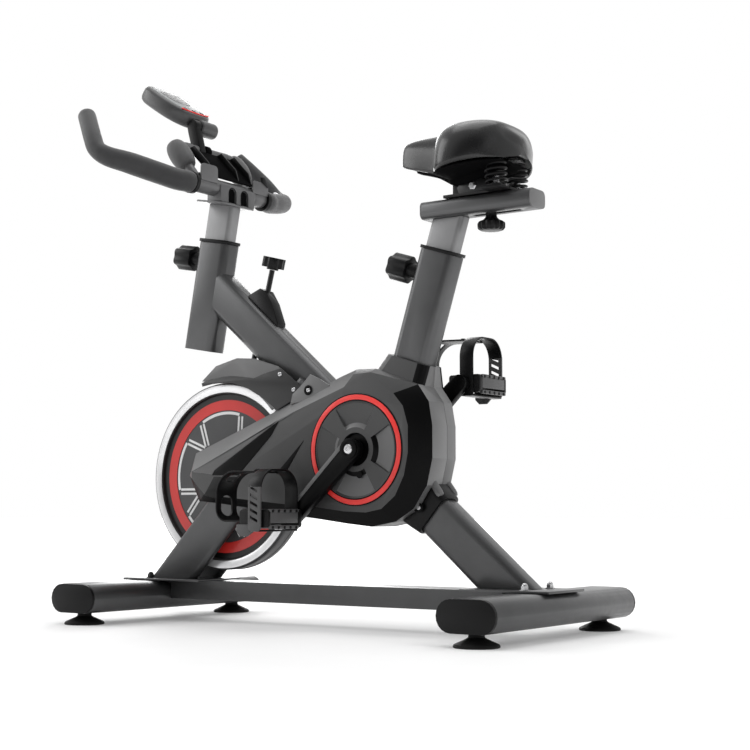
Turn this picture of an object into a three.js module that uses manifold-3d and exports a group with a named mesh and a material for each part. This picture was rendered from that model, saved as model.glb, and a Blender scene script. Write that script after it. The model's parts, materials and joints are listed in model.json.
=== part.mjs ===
// Indoor spin bike with a belt-driven flywheel.
// Millimetres, +Z up, front of the bike towards -X, belt side (rider's left) towards -Y.

import * as THREE from 'three';
import { mergeVertices } from 'three/addons/utils/BufferGeometryUtils.js';
import Module from 'manifold-3d';

const wasm = await Module();
wasm.setup();

// ---------------------------------------------------------------- driving dimensions

const GAP = 0.35;                    // clearance between pieces that touch
const WALL = 3;                      // wall of steel tubes and plastic shells
const LAYOUT_SHIFT_X = 21;           // puts the middle of the whole bike at x = 0

// Points in the side view are [x, z] pairs.
const CRANK_AXIS = [87, 307];
const FLYWHEEL_AXIS = [-244, 267];

const BAR_X = 411;                   // front and rear stabilizer from the middle
const BAR_HALF_LENGTH = 235;
const BAR_WIDTH = 105;
const BAR_HEIGHT = 52;
const BAR_BOTTOM_Z = 21;
const BAR_TOP_Z = BAR_BOTTOM_Z + BAR_HEIGHT;
const BAR_MID_Z = BAR_BOTTOM_Z + BAR_HEIGHT / 2;
const FOOT_Y = 203;
const PLATE_TOP_Z = BAR_TOP_Z + 4.3;

const WHEEL_AXIS = [-485.5, 42];     // transport wheels in front of the front stabilizer
const WHEEL_RADIUS = 20;
const WHEEL_Y = 150;

const TUBE_WIDTH = 72;               // main, head and seat tube section
const TUBE_DEPTH = 46;
const TUBE_CORNER = 14;
const MAIN_SLOPE = THREE.MathUtils.degToRad(40.9);
const HEAD_LEAN = THREE.MathUtils.degToRad(10.3);
const SEAT_LEAN = THREE.MathUtils.degToRad(17.4);
const HEAD_FOOT = [-311.8, 506];     // bottom end of the head tube's axis
const HEAD_LENGTH = 205;
const SEAT_FOOT = [100, 242];        // bottom end of the seat tube's axis
const SEAT_LENGTH = 418;
const HEAD_PIN_S = 172;              // locking pins, from the feet of the head and seat tube
const SEAT_PIN_S = 376;
const PLATE_S = 277.6;               // stem plate above the head tube's foot
const POST_WIDTH = 60;
const POST_DEPTH = 30;
const POST_CORNER = 8;

const LEG_WIDTH = 78;                // flat oval fork legs beside the flywheel
const LEG_INNER_Y = 23.6;
const LEG_OUTER_Y = 43.6;
const LEG_FOOT = [-347, 80];
const LEG_TOP = [-32, 405];

const FLYWHEEL_RADIUS = 172.5;
const FLYWHEEL_HALF_WIDTH = 19;
const FLYWHEEL_FACE_RADIUS = 153;
const FLYWHEEL_RECESS = 7;
const AXLE_RADIUS = 9;
const FLYWHEEL_PULLEY_RADIUS = 22;
const DRIVE_PULLEY_RADIUS = 88;
const BELT_THICKNESS = 3;
const PULLEY_Y = [-55.5, -46];

const GUARD_FACE_Y = 61;
const GUARD_BEVEL_Y = 46;
const GUARD_RIGHT_BEVEL_Y = 27;
const GUARD_ARM_INNER_Y = 44.3;
const RING_OUTER_RADIUS = 94.2;
const RING_INNER_RADIUS = 85;

const CRANK_REACH = [127, 117];      // from the crank axis to the pedal axis, x and z
const CRANK_INNER_Y = 66;
const CRANK_OUTER_Y = 80;
const PEDAL_INNER_Y = 86;
const PEDAL_OUTER_Y = 178;

const HANDLEBAR_AXIS = [-256.5, 809];
const HANDLEBAR_RADIUS = 12.5;
const HANDLEBAR_STRAIGHT_Y = 101;
const GRIP_RADIUS = 16.5;
const INNER_BAR_AXIS = [-316, 890];
const INNER_BAR_RADIUS = 8;
const CONSOLE_HINGE = [-328, 939];
const CONSOLE_SLOPE = THREE.MathUtils.degToRad(34);

const SLIDER_BOTTOM_Z = 698;
const SLIDER_TOP_Z = 729;
const SLIDER_X = [198, 408];
const SLIDER_HALF_DEPTH = 26;
const SADDLE_BOLT_X = 322;

const ROD_LEAN = THREE.MathUtils.degToRad(14.4);

// ---------------------------------------------------------------- materials

const metal = (color, roughness) => new THREE.MeshStandardMaterial({ color, roughness, metalness: 0.8 });
const plastic = (color, roughness) => new THREE.MeshStandardMaterial({ color, roughness, metalness: 0 });

const framePaint = () => metal(0x4a4b4c, 0.45);
const silverPost = () => metal(0x9fa0a1, 0.4);
const blackPlastic = () => plastic(0x141414, 0.5);
const greyPlastic = () => plastic(0x4a4a4a, 0.45);
const darkSteel = () => metal(0x202020, 0.35);
const brightSteel = () => metal(0xc4c4c4, 0.25);
const redPlastic = () => plastic(0xd7413c, 0.4);
const rubber = () => plastic(0x101010, 0.8);
const foam = () => plastic(0x262626, 0.9);
const leather = () => plastic(0x1b1b1b, 0.3);

// ---------------------------------------------------------------- solids

function toSolid(geometry) {
  const bare = geometry.clone();
  bare.deleteAttribute('normal');
  bare.deleteAttribute('uv');
  const merged = mergeVertices(bare, 1e-3);
  return new wasm.Manifold(new wasm.Mesh({
    numProp: 3,
    vertProperties: new Float32Array(merged.attributes.position.array),
    triVerts: new Uint32Array(merged.index.array),
  }));
}

function toGeometry(solid) {
  const mesh = solid.getMesh();
  const geometry = new THREE.BufferGeometry();
  geometry.setAttribute('position', new THREE.BufferAttribute(mesh.vertProperties, 3));
  geometry.setIndex(new THREE.BufferAttribute(mesh.triVerts, 1));
  geometry.computeVertexNormals();
  return geometry;
}

function join(...geometries) {
  const solids = geometries.map(toSolid);
  return toGeometry(solids.reduce((sum, solid) => sum.add(solid)));
}

function cut(geometry, ...tools) {
  const start = toSolid(geometry);
  return toGeometry(tools.map(toSolid).reduce((rest, tool) => rest.subtract(tool), start));
}

// ---------------------------------------------------------------- outlines

function arc(cx, cy, radius, from, to, steps) {
  const points = [];
  for (let i = 0; i <= steps; i += 1) {
    const a = THREE.MathUtils.degToRad(from + (to - from) * i / steps);
    points.push([cx + radius * Math.cos(a), cy + radius * Math.sin(a)]);
  }
  return points;
}

function circle(cx, cy, radius, steps) {
  return arc(cx, cy, radius, 0, 360, steps).slice(0, -1);
}

function roundedRect(width, height, radius, steps = 4, cx = 0, cy = 0) {
  const x = width / 2 - radius;
  const y = height / 2 - radius;
  return [
    ...arc(cx + x, cy + y, radius, 0, 90, steps),
    ...arc(cx - x, cy + y, radius, 90, 180, steps),
    ...arc(cx - x, cy - y, radius, 180, 270, steps),
    ...arc(cx + x, cy - y, radius, 270, 360, steps),
  ];
}

// Moves every side of a counter-clockwise outline inwards by the same distance.
function inset(outline, distance) {
  const count = outline.length;
  return outline.map((point, i) => {
    const before = outline[(i + count - 1) % count];
    const after = outline[(i + 1) % count];
    const inward = (a, b) => {
      const length = Math.hypot(b[0] - a[0], b[1] - a[1]);
      return [-(b[1] - a[1]) / length, (b[0] - a[0]) / length];
    };
    const n1 = inward(before, point);
    const n2 = inward(point, after);
    const scale = distance / (1 + n1[0] * n2[0] + n1[1] * n2[1]);
    return [point[0] + (n1[0] + n2[0]) * scale, point[1] + (n1[1] + n2[1]) * scale];
  });
}

function shapeOf(outline, holes = []) {
  const toVectors = (points) => points.map(([x, y]) => new THREE.Vector2(x, y));
  const shape = new THREE.Shape(toVectors(outline));
  holes.forEach((hole) => shape.holes.push(new THREE.Path(toVectors(hole))));
  return shape;
}

// ---------------------------------------------------------------- basic bodies

// An outline in the side view, extruded across the bike from y0 to y1.
function slab(outline, y0, y1, holes = []) {
  const options = { depth: y1 - y0, bevelEnabled: false };
  const geometry = new THREE.ExtrudeGeometry(shapeOf(outline, holes), options);
  return geometry.rotateX(Math.PI / 2).translate(0, y1, 0);
}

// An outline in the plane across the bike (y, z), extruded along X from x0 to x1.
function across(outline, x0, x1, holes = []) {
  const options = { depth: x1 - x0, bevelEnabled: false };
  const geometry = new THREE.ExtrudeGeometry(shapeOf(outline, holes), options);
  const basis = new THREE.Matrix4().makeBasis(
    new THREE.Vector3(0, 1, 0), new THREE.Vector3(0, 0, 1), new THREE.Vector3(1, 0, 0));
  return geometry.applyMatrix4(basis).translate(x0, 0, 0);
}

// A section extruded from s0 to s1 along an axis that leans towards +X by the given angle.
// The section's x stays in the side view, and its y lies across the bike.
function leaning(section, s0, s1, [x, z], lean, holes = []) {
  const options = { depth: s1 - s0, bevelEnabled: false };
  const geometry = new THREE.ExtrudeGeometry(shapeOf(section, holes), options);
  return geometry.translate(0, 0, s0).rotateY(lean).translate(x, 0, z);
}

// A round body about the Y axis. The profile is [radius, y] pairs and closes on itself.
function turned(profile, [x, z], segments = 32) {
  const points = [...profile, profile[0]].map(([r, y]) => new THREE.Vector2(r, y));
  return new THREE.LatheGeometry(points, segments).translate(x, 0, z);
}

function rodAcross(radius, y0, y1, [x, z], segments = 24) {
  const geometry = new THREE.CylinderGeometry(radius, radius, y1 - y0, segments);
  return geometry.translate(x, (y0 + y1) / 2, z);
}

function swept(curve, radius, steps, sides, innerRadius = 0) {
  const holes = innerRadius > 0 ? [circle(0, 0, innerRadius, sides)] : [];
  const section = shapeOf(circle(0, 0, radius, sides), holes);
  return new THREE.ExtrudeGeometry(section, { steps, extrudePath: curve, bevelEnabled: false });
}

// A closed skin through a row of outlines with the same number of points.
// place(point, index) gives the position of an outline's point.
function loft(outlines, place) {
  const count = outlines[0].length;
  const positions = outlines.flatMap((outline, i) => outline.flatMap((p) => place(p, i).toArray()));
  const indices = [];
  for (let ring = 0; ring + 1 < outlines.length; ring += 1) {
    for (let k = 0; k < count; k += 1) {
      const a = ring * count + k;
      const b = ring * count + (k + 1) % count;
      indices.push(a, b, b + count);
      indices.push(a, b + count, a + count);
    }
  }
  const cap = (outline) => THREE.ShapeUtils.triangulateShape(
    outline.map(([x, y]) => new THREE.Vector2(x, y)), []);
  const last = (outlines.length - 1) * count;
  cap(outlines[0]).forEach(([a, b, c]) => indices.push(a, c, b));
  cap(outlines.at(-1)).forEach(([a, b, c]) => indices.push(last + a, last + b, last + c));
  const geometry = new THREE.BufferGeometry();
  geometry.setAttribute('position', new THREE.Float32BufferAttribute(positions, 3));
  geometry.setIndex(isInsideOut(positions, indices) ? indices.reverse() : indices);
  return geometry;
}

function isInsideOut(positions, indices) {
  let volume = 0;
  const corner = (i) => new THREE.Vector3().fromArray(positions, i * 3);
  for (let i = 0; i < indices.length; i += 3) {
    const cross = corner(indices[i + 1]).cross(corner(indices[i + 2]));
    volume += corner(indices[i]).dot(cross);
  }
  return volume < 0;
}

function lobed(radius, depth, lobes, steps = 6) {
  const points = [];
  for (let i = 0; i < lobes * steps; i += 1) {
    const turn = i / (lobes * steps);
    const r = radius - depth * (0.5 - 0.5 * Math.cos(2 * Math.PI * lobes * turn));
    const a = 2 * Math.PI * turn;
    points.push([r * Math.cos(a), r * Math.sin(a)]);
  }
  return points;
}

// The same body on the other side of the bike, with its faces still outwards.
function mirrored(geometry) {
  const copy = (geometry.index ? geometry.clone() : mergeVertices(geometry)).scale(1, -1, 1);
  const order = Array.from(copy.index.array).reverse();
  copy.setIndex(order);
  copy.computeVertexNormals();
  return copy;
}

// ---------------------------------------------------------------- the bike

const bike = new THREE.Group();
bike.position.x = LAYOUT_SHIFT_X;

function add(name, geometry, material) {
  const mesh = new THREE.Mesh(geometry, material);
  mesh.name = name;
  bike.add(mesh);
  return mesh;
}

// Solid envelopes used to cut the pieces around the frame tubes.
const mainSection = (grow) => roundedRect(
  TUBE_WIDTH + 2 * grow, TUBE_DEPTH + 2 * grow, TUBE_CORNER + grow);
const MAIN_FORWARD = MAIN_SLOPE - Math.PI / 2;
const mainEnvelope = (grow) => leaning(mainSection(grow), -420, 520, CRANK_AXIS, MAIN_FORWARD);
// A block with one face in the main tube's middle plane, above (1) or below (-1) the tube.
const mainHalfSpace = (side, distance = 0) => leaning(
  roundedRect(300, 300, 1, 1, side * (150 + distance), 0), -700, 700, CRANK_AXIS, MAIN_FORWARD);
const headEnvelope = (grow) => leaning(
  mainSection(grow), -20, HEAD_LENGTH + 40, HEAD_FOOT, HEAD_LEAN);
const seatEnvelope = (grow) => leaning(mainSection(grow), 0, SEAT_LENGTH, SEAT_FOOT, SEAT_LEAN);

const legLean = Math.atan2(LEG_TOP[0] - LEG_FOOT[0], LEG_TOP[1] - LEG_FOOT[1]);

function legEnvelope(grow) {
  const depth = LEG_OUTER_Y - LEG_INNER_Y + 2 * grow;
  const section = roundedRect(LEG_WIDTH + 2 * grow, depth, depth / 2 - 0.01, 6);
  const middle = (LEG_OUTER_Y + LEG_INNER_Y) / 2;
  return leaning(section, -60, 480, LEG_FOOT, legLean).translate(0, -middle, 0);
}

function addStabilizers() {
  const section = (x, grow) => roundedRect(
    BAR_WIDTH + 2 * grow, BAR_HEIGHT + 2 * grow, BAR_HEIGHT / 2 + grow - 0.01, 5, x, BAR_MID_Z);
  const tubeHalf = BAR_HALF_LENGTH - 5;
  for (const [end, x] of [['front', -BAR_X], ['rear', BAR_X]]) {
    const tube = slab(section(x, 0), -tubeHalf, tubeHalf, [section(x, -WALL)]);
    const studHoles = [-FOOT_Y, FOOT_Y].map((y) => {
      const hole = new THREE.CylinderGeometry(5.8, 5.8, 12, 12).rotateX(Math.PI / 2);
      return hole.translate(x, y, BAR_BOTTOM_Z);
    });
    let bar = cut(tube, ...studHoles);
    if (end === 'front') {
      bar = withWheelEars(bar);
    }
    add(`${end}_stabilizer`, bar, framePaint());
    const plug = slab(section(x, -WALL - GAP), tubeHalf - 14, tubeHalf + 2);
    const face = slab(section(x, -0.5), tubeHalf + GAP, BAR_HALF_LENGTH);
    const cap = join(plug, face);
    add(`${end}_end_cap_right`, cap, blackPlastic());
    add(`${end}_end_cap_left`, mirrored(cap), blackPlastic());
  }
}

function withWheelEars(bar) {
  const [x, z] = WHEEL_AXIS;
  const outline = [
    [-BAR_X - BAR_WIDTH / 2 + 4, z + 16],
    ...arc(x, z, 12, 100, 260, 6),
    [-BAR_X - BAR_WIDTH / 2 + 4, z - 10],
  ];
  const ears = [];
  for (const middle of [-WHEEL_Y, WHEEL_Y]) {
    for (const side of [-14, 14]) {
      const y = middle + side;
      ears.push(slab(outline, y - 2, y + 2, [circle(x, z, 5.6, 12)]));
    }
  }
  return join(bar, ...ears);
}

function addTransportWheels() {
  const profile = [
    [0, -17], [5, -17], [5, -11], [WHEEL_RADIUS, -11], [WHEEL_RADIUS, 11], [5, 11], [5, 17], [0, 17],
  ];
  for (const [side, y] of [['left', -WHEEL_Y], ['right', WHEEL_Y]]) {
    const wheel = add(`transport_wheel_${side}`, turned(profile, [0, 0], 20), blackPlastic());
    wheel.position.set(WHEEL_AXIS[0], y, WHEEL_AXIS[1]);
  }
}

function addFeet() {
  const profile = [
    [0, 0], [35.5, 0], [35.5, 5], [12, 16], [12, BAR_BOTTOM_Z - GAP], [5, BAR_BOTTOM_Z - GAP],
    [5, 38], [0, 38],
  ];
  const points = profile.map(([r, y]) => new THREE.Vector2(r, y));
  for (const [end, x] of [['front', -BAR_X], ['rear', BAR_X]]) {
    for (const [side, y] of [['left', -FOOT_Y], ['right', FOOT_Y]]) {
      const geometry = new THREE.LatheGeometry(points, 18).rotateX(Math.PI / 2);
      const foot = add(`foot_${end}_${side}`, geometry, rubber());
      foot.position.set(x, y, 0);
    }
  }
}

function addTieBeam() {
  const inner = BAR_X - BAR_WIDTH / 2 - GAP;
  const beam = slab([[-inner, 40], [inner, 40], [inner, 74.5], [-inner, 74.5]], -34, 34);
  const plateBottom = BAR_TOP_Z + GAP;
  const plate = (x0, x1) => slab(
    [[x0, plateBottom], [x1, plateBottom], [x1, PLATE_TOP_Z], [x0, PLATE_TOP_Z]], -60, 60);
  add('tie_beam', join(beam, plate(-456, -268), plate(292, 456)), framePaint());
}

// Everything below the top of the foot plates, from x0 to x1.
function groundBlock(x0, x1) {
  const top = PLATE_TOP_Z + GAP;
  return slab([[x0, -60], [x1, -60], [x1, top], [x0, top]], -90, 90);
}

function addForkLegs() {
  const floor = groundBlock(-600, 200);
  const roof = leaning(roundedRect(200, 300, 5), -300, 400, CRANK_AXIS, MAIN_FORWARD)
    .translate(110 * Math.sin(MAIN_SLOPE), 0, 110 * Math.cos(MAIN_SLOPE));
  const tube = cut(legEnvelope(0), floor, roof);
  const [x, z] = FLYWHEEL_AXIS;
  const plate = slab([
    ...arc(x, z, 27, 70, 250, 10),
    [-205, 205],
    [-150, 250],
    [-150, 300],
  ], -36.6, -30.6);
  const bore = rodAcross(AXLE_RADIUS + 0.5, -60, 0, FLYWHEEL_AXIS);
  const leg = cut(join(tube, plate), bore);
  add('fork_leg_left', leg, framePaint());
  add('fork_leg_right', mirrored(leg), framePaint());
}

function addFrameTubes() {
  const hollow = mainSection(-WALL);
  const shellClearance = 24;
  const downTube = leaning(mainSection(0), shellClearance, 500, CRANK_AXIS, MAIN_FORWARD, [hollow]);
  const rodHole = leaning(circle(0, 0, 7, 16), 200, 400, FLYWHEEL_AXIS, ROD_LEAN);
  const beyondHead = slab([[-600, 300], [-330, 300], [-262, 760], [-600, 760]], -60, 60);
  add('down_tube', cut(downTube, headEnvelope(GAP), beyondHead, rodHole), framePaint());

  const rearLeg = leaning(mainSection(0), -420, -shellClearance, CRANK_AXIS, MAIN_FORWARD, [hollow]);
  const floor = groundBlock(200, 600);
  add('rear_leg', cut(rearLeg, floor), framePaint());

  const pinHole = (foot, lean, s) => {
    const hole = new THREE.CylinderGeometry(6.5, 6.5, 60, 16).rotateZ(Math.PI / 2);
    return hole.translate(-TUBE_WIDTH / 2, 0, s).rotateY(lean).translate(foot[0], 0, foot[1]);
  };
  const headTube = leaning(mainSection(0), 0, HEAD_LENGTH, HEAD_FOOT, HEAD_LEAN, [hollow]);
  add('head_tube', cut(headTube, pinHole(HEAD_FOOT, HEAD_LEAN, HEAD_PIN_S)), framePaint());
  const seatTube = leaning(mainSection(0), 0, SEAT_LENGTH, SEAT_FOOT, SEAT_LEAN, [hollow]);
  const seatPin = pinHole(SEAT_FOOT, SEAT_LEAN, SEAT_PIN_S);
  add('seat_tube', cut(seatTube, mainEnvelope(GAP), mainHalfSpace(-1), seatPin), framePaint());

  for (const [name, foot, lean, length, pin] of [
    ['head_collar', HEAD_FOOT, HEAD_LEAN, HEAD_LENGTH, HEAD_PIN_S],
    ['seat_collar', SEAT_FOOT, SEAT_LEAN, SEAT_LENGTH, SEAT_PIN_S],
  ]) {
    const sleeve = leaning(mainSection(-WALL - GAP), length - 67, length + 3, foot, lean);
    const flange = leaning(mainSection(2.5), length + GAP, length + 6, foot, lean);
    const bore = leaning(postSection(0.5), length - 80, length + 20, foot, lean);
    add(name, cut(join(sleeve, flange), bore, pinHole(foot, lean, pin)), blackPlastic());
  }
}

const postSection = (grow) => roundedRect(
  POST_WIDTH + 2 * grow, POST_DEPTH + 2 * grow, POST_CORNER + grow);

function addBottomBracket() {
  const profile = [
    [AXLE_RADIUS + 0.5, -40], [23.5, -40], [23.5, 40], [AXLE_RADIUS + 0.5, 40],
    [AXLE_RADIUS + 0.5, 27], [16, 27], [16, -27], [AXLE_RADIUS + 0.5, -27],
  ];
  add('bottom_bracket_shell', turned(profile, CRANK_AXIS, 24), framePaint());
}

// ---- belt guard

// Counter-clockwise outline of the crank end of the guard, from its lower front corner.
const GUARD_HOUSING = [
  [-36, 193], [60, 181], [110, 176], [160, 185], [196, 207], [222, 245], [233, 290],
  [233, 345], [226, 385], [205, 414], [118, 445], [80, 446], [46, 435],
];
const HOUSING_FRONT_X = -60;
const GUARD_ARM = [[-60, 395], [-288, 309], [-303, 268], [-279, 221], [-233, 217], [-60, 196]];
const GUARD_SIDE = [...GUARD_HOUSING, ...GUARD_ARM];

// The flat face is smaller than the outline: a bevel runs round between the two.
const GUARD_FACE_HOUSING = [
  [-20, 212], [62, 202], [108, 200], [140, 206], [168, 228], [186, 262], [194, 300],
  [194, 345], [184, 378], [165, 400], [118, 438], [82, 436], [62, 415],
];
const GUARD_FACE = [
  ...GUARD_FACE_HOUSING,
  [-54, 374], [-285, 275], [-285, 262], [-254, 233], [-219, 229], [-50, 213],
];
const HOUSING_SIDE = [...GUARD_HOUSING, [-60, 395], [-60, 196]];
const HOUSING_FACE = [...GUARD_FACE_HOUSING, [-40, 384], [-40, 214]];

const acrossAt = (levels) => ([x, z], i) => new THREE.Vector3(x, levels[i], z);

function bevelledShell(side, face, levels) {
  const outer = loft([side, side, face], acrossAt(levels));
  const towardsFace = Math.sign(levels[2] - levels[0]);
  const inner = loft([inset(side, WALL), inset(side, WALL), inset(face, WALL)], acrossAt([
    levels[0] - towardsFace,
    levels[1] - towardsFace * 0.5,
    levels[2] - towardsFace * WALL,
  ]));
  return { outer, inner };
}

function seatBoot() {
  const outlines = [roundedRect(104, 92, 16), roundedRect(86, 62, 16)];
  const lean = new THREE.Euler(0, SEAT_LEAN, 0);
  const heights = [186, 228];
  const foot = new THREE.Vector3(SEAT_FOOT[0], 0, SEAT_FOOT[1]);
  return loft(outlines, ([x, y], i) => new THREE.Vector3(x, y, heights[i]).applyEuler(lean).add(foot));
}

function frameCuts() {
  const leg = legEnvelope(1);
  return [mainEnvelope(0.6), seatEnvelope(0.6), leg, mirrored(leg)];
}

function addBeltGuard() {
  const armLevels = [-GUARD_ARM_INNER_Y, -GUARD_BEVEL_Y, -GUARD_FACE_Y];
  const arm = bevelledShell(GUARD_SIDE, GUARD_FACE, armLevels);
  const housing = slab(HOUSING_SIDE, -GUARD_ARM_INNER_Y - 1, -GAP);
  const hollow = slab(inset(HOUSING_SIDE, WALL), -GUARD_ARM_INNER_Y - 2, 1);
  const rightOfMiddle = slab([[-100, 100], [300, 100], [300, 600], [-100, 600]], -GAP, 100);
  const leftOfMiddle = slab([[-100, 100], [300, 100], [300, 600], [-100, 600]], -100, GAP);
  const bootLeft = cut(seatBoot(), rightOfMiddle);
  const faceHole = rodAcross(90, -70, -50, CRANK_AXIS, 48);
  const body = join(arm.outer, housing, bootLeft);
  add('belt_guard_left', cut(body, arm.inner, hollow, faceHole, ...frameCuts()), greyPlastic());

  const right = bevelledShell(HOUSING_SIDE, HOUSING_FACE, [GAP, GUARD_RIGHT_BEVEL_Y, GUARD_FACE_Y]);
  const bootRight = cut(seatBoot(), leftOfMiddle);
  const crankHole = rodAcross(22, 50, 70, CRANK_AXIS, 32);
  const rightBody = join(right.outer, bootRight);
  add('belt_guard_right', cut(rightBody, right.inner, crankHole, ...frameCuts()), greyPlastic());

  const face = -GUARD_FACE_Y;
  const ring = [
    [RING_INNER_RADIUS, face - 2], [RING_OUTER_RADIUS, face - 2], [RING_OUTER_RADIUS, face - GAP],
    [89.5, face - GAP], [89.5, face + WALL], [RING_INNER_RADIUS, face + WALL],
  ];
  add('guard_ring', turned(ring, CRANK_AXIS, 48), redPlastic());
  const disc = [
    [21, face + 1], [30, face], [RING_INNER_RADIUS - 0.5, face - 1],
    [RING_INNER_RADIUS - 0.5, face + WALL], [30, face + WALL], [21, face + WALL + 1],
  ];
  add('guard_disc', turned(disc, CRANK_AXIS, 32), greyPlastic());
}

function addRearLegBoot() {
  const outlines = [roundedRect(96, 70, 12), roundedRect(80, 55, 14)];
  const turn = new THREE.Euler(0, MAIN_FORWARD, 0);
  const centre = new THREE.Vector3(CRANK_AXIS[0], 0, CRANK_AXIS[1]);
  const distances = [-118, -172];
  const sleeve = loft(outlines, ([x, y], i) => (
    new THREE.Vector3(x, y, distances[i]).applyEuler(turn).add(centre)));
  const insideGuard = slab(inset(HOUSING_SIDE, -0.6), -80, 80);
  add('rear_leg_boot', cut(sleeve, mainEnvelope(0.5), insideGuard), blackPlastic());
}

// ---- flywheel, belt and brake

function addFlywheel() {
  const half = FLYWHEEL_HALF_WIDTH;
  const face = half - FLYWHEEL_RECESS;
  const bore = AXLE_RADIUS + 0.2;
  const rim = [
    [bore, -face], [FLYWHEEL_FACE_RADIUS - 2, -face], [FLYWHEEL_FACE_RADIUS, -half],
    [FLYWHEEL_RADIUS - 1.5, -half], [FLYWHEEL_RADIUS, -half + 1.5], [FLYWHEEL_RADIUS, half - 1.5],
    [FLYWHEEL_RADIUS - 1.5, half], [FLYWHEEL_FACE_RADIUS, half], [FLYWHEEL_FACE_RADIUS - 2, face],
    [bore, face],
  ];
  add('flywheel', turned(rim, FLYWHEEL_AXIS, 56), brightSteel());
  add('flywheel_axle', rodAcross(AXLE_RADIUS, -56.5, 43, FLYWHEEL_AXIS), brightSteel());
  const [y0, y1] = PULLEY_Y;
  const radius = FLYWHEEL_PULLEY_RADIUS;
  const pulley = [
    [bore, y0], [radius + 3, y0], [radius + 3, y0 + 1], [radius, y0 + 1], [radius, y1 - 1],
    [radius + 3, y1 - 1], [radius + 3, y1], [bore, y1],
  ];
  add('flywheel_pulley', turned(pulley, FLYWHEEL_AXIS, 20), darkSteel());
}

// The outline of an open belt that runs round both pulleys, offset outwards from them.
function beltOutline(offset) {
  const [x1, z1] = FLYWHEEL_AXIS;
  const [x2, z2] = CRANK_AXIS;
  const r1 = FLYWHEEL_PULLEY_RADIUS + offset;
  const r2 = DRIVE_PULLEY_RADIUS + offset;
  const line = THREE.MathUtils.radToDeg(Math.atan2(z2 - z1, x2 - x1));
  const wrap = THREE.MathUtils.radToDeg(Math.acos((r1 - r2) / Math.hypot(x2 - x1, z2 - z1)));
  return [
    ...arc(x1, z1, r1, line + wrap, line + 360 - wrap, 10),
    ...arc(x2, z2, r2, line - wrap, line + wrap, 28),
  ];
}

function addBelt() {
  const [y0, y1] = PULLEY_Y;
  const belt = slab(beltOutline(GAP + BELT_THICKNESS), y0 + 1.5, y1 - 1.5, [beltOutline(GAP)]);
  add('drive_belt', belt, rubber());
}

function addFender() {
  const [x, z] = FLYWHEEL_AXIS;
  const side = [
    ...arc(x, z, 178, 40.5, 100, 14),
    [-241, 469], [-191, 481], [-151, 478], [-95, 461], [-49, 424], [-65, 410],
  ].reverse();
  const hollow = [
    [-300, 300], [0, 300], [0, 540], [-158, 540], [-162, 475], [-191, 477.8], [-240, 465.6],
    [-271, 441.5], [-300, 400],
  ];
  const outside = slab(side, -47, 47);
  const inside = slab(hollow, -44.2, 44.2);
  const rodHole = leaning(circle(0, 0, 7, 16), 190, 400, FLYWHEEL_AXIS, ROD_LEAN);
  add('fender', cut(outside, inside, mainEnvelope(0.6), rodHole), greyPlastic());
}

function addBrake() {
  const hump = slab([
    [-128, 500], [-124, 545], [-138, 582], [-153, 606], [-166, 612], [-194, 601], [-200, 572],
  ].reverse(), -12, 12);
  const rodHole = leaning(circle(0, 0, 6.5, 16), 250, 400, FLYWHEEL_AXIS, ROD_LEAN);
  add('brake_housing', cut(hump, mainEnvelope(GAP), rodHole), blackPlastic());

  const rod = leaning(circle(0, 0, 5, 16), 185, 391, FLYWHEEL_AXIS, ROD_LEAN);
  const spread = 10;
  const middle = 90 - THREE.MathUtils.radToDeg(ROD_LEAN);
  const shoe = slab([
    ...arc(...FLYWHEEL_AXIS, 178.5, middle - spread, middle + spread, 6),
    ...arc(...FLYWHEEL_AXIS, 192, middle + spread, middle - spread, 6),
  ], -17, 17);
  add('brake_rod', join(rod, shoe), darkSteel());
  const body = leaning(lobed(21, 2.4, 10), 395, 414, FLYWHEEL_AXIS, ROD_LEAN);
  const hub = leaning(circle(0, 0, 11, 20), 391 + GAP, 396, FLYWHEEL_AXIS, ROD_LEAN);
  add('tension_knob', join(body, hub), blackPlastic());
}

// ---- cranks and pedals

function addCrankset() {
  add('crank_axle', rodAcross(AXLE_RADIUS, -61, 61, CRANK_AXIS), brightSteel());
  const pulley = [
    [AXLE_RADIUS + 0.2, PULLEY_Y[0]], [DRIVE_PULLEY_RADIUS, PULLEY_Y[0]],
    [DRIVE_PULLEY_RADIUS, PULLEY_Y[1]], [AXLE_RADIUS + 0.2, PULLEY_Y[1]],
  ];
  add('drive_pulley', turned(pulley, CRANK_AXIS, 48), darkSteel());
  const [reachX, reachZ] = CRANK_REACH;
  for (const [side, sign] of [['left', -1], ['right', 1]]) {
    const end = [CRANK_AXIS[0] + sign * reachX, CRANK_AXIS[1] + sign * reachZ];
    const angle = THREE.MathUtils.radToDeg(Math.atan2(sign * reachZ, sign * reachX));
    const outline = [
      ...arc(...end, 14.5, angle - 90, angle + 90, 8),
      ...arc(...CRANK_AXIS, 19, angle + 80, angle + 280, 12),
    ];
    const onSide = (geometry) => (sign > 0 ? geometry : mirrored(geometry));
    const arm = slab(outline, CRANK_INNER_Y, CRANK_OUTER_Y);
    const boss = rodAcross(17, 61 + GAP, CRANK_OUTER_Y + 4, CRANK_AXIS);
    const recess = rodAcross(10, CRANK_OUTER_Y, CRANK_OUTER_Y + 9, CRANK_AXIS);
    const spindle = rodAcross(6, CRANK_OUTER_Y - 4, PEDAL_OUTER_Y - 8, end, 16);
    add(`crank_arm_${side}`, onSide(cut(join(arm, boss, spindle), recess)), blackPlastic());
    addPedal(side, onSide, end);
  }
}

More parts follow.
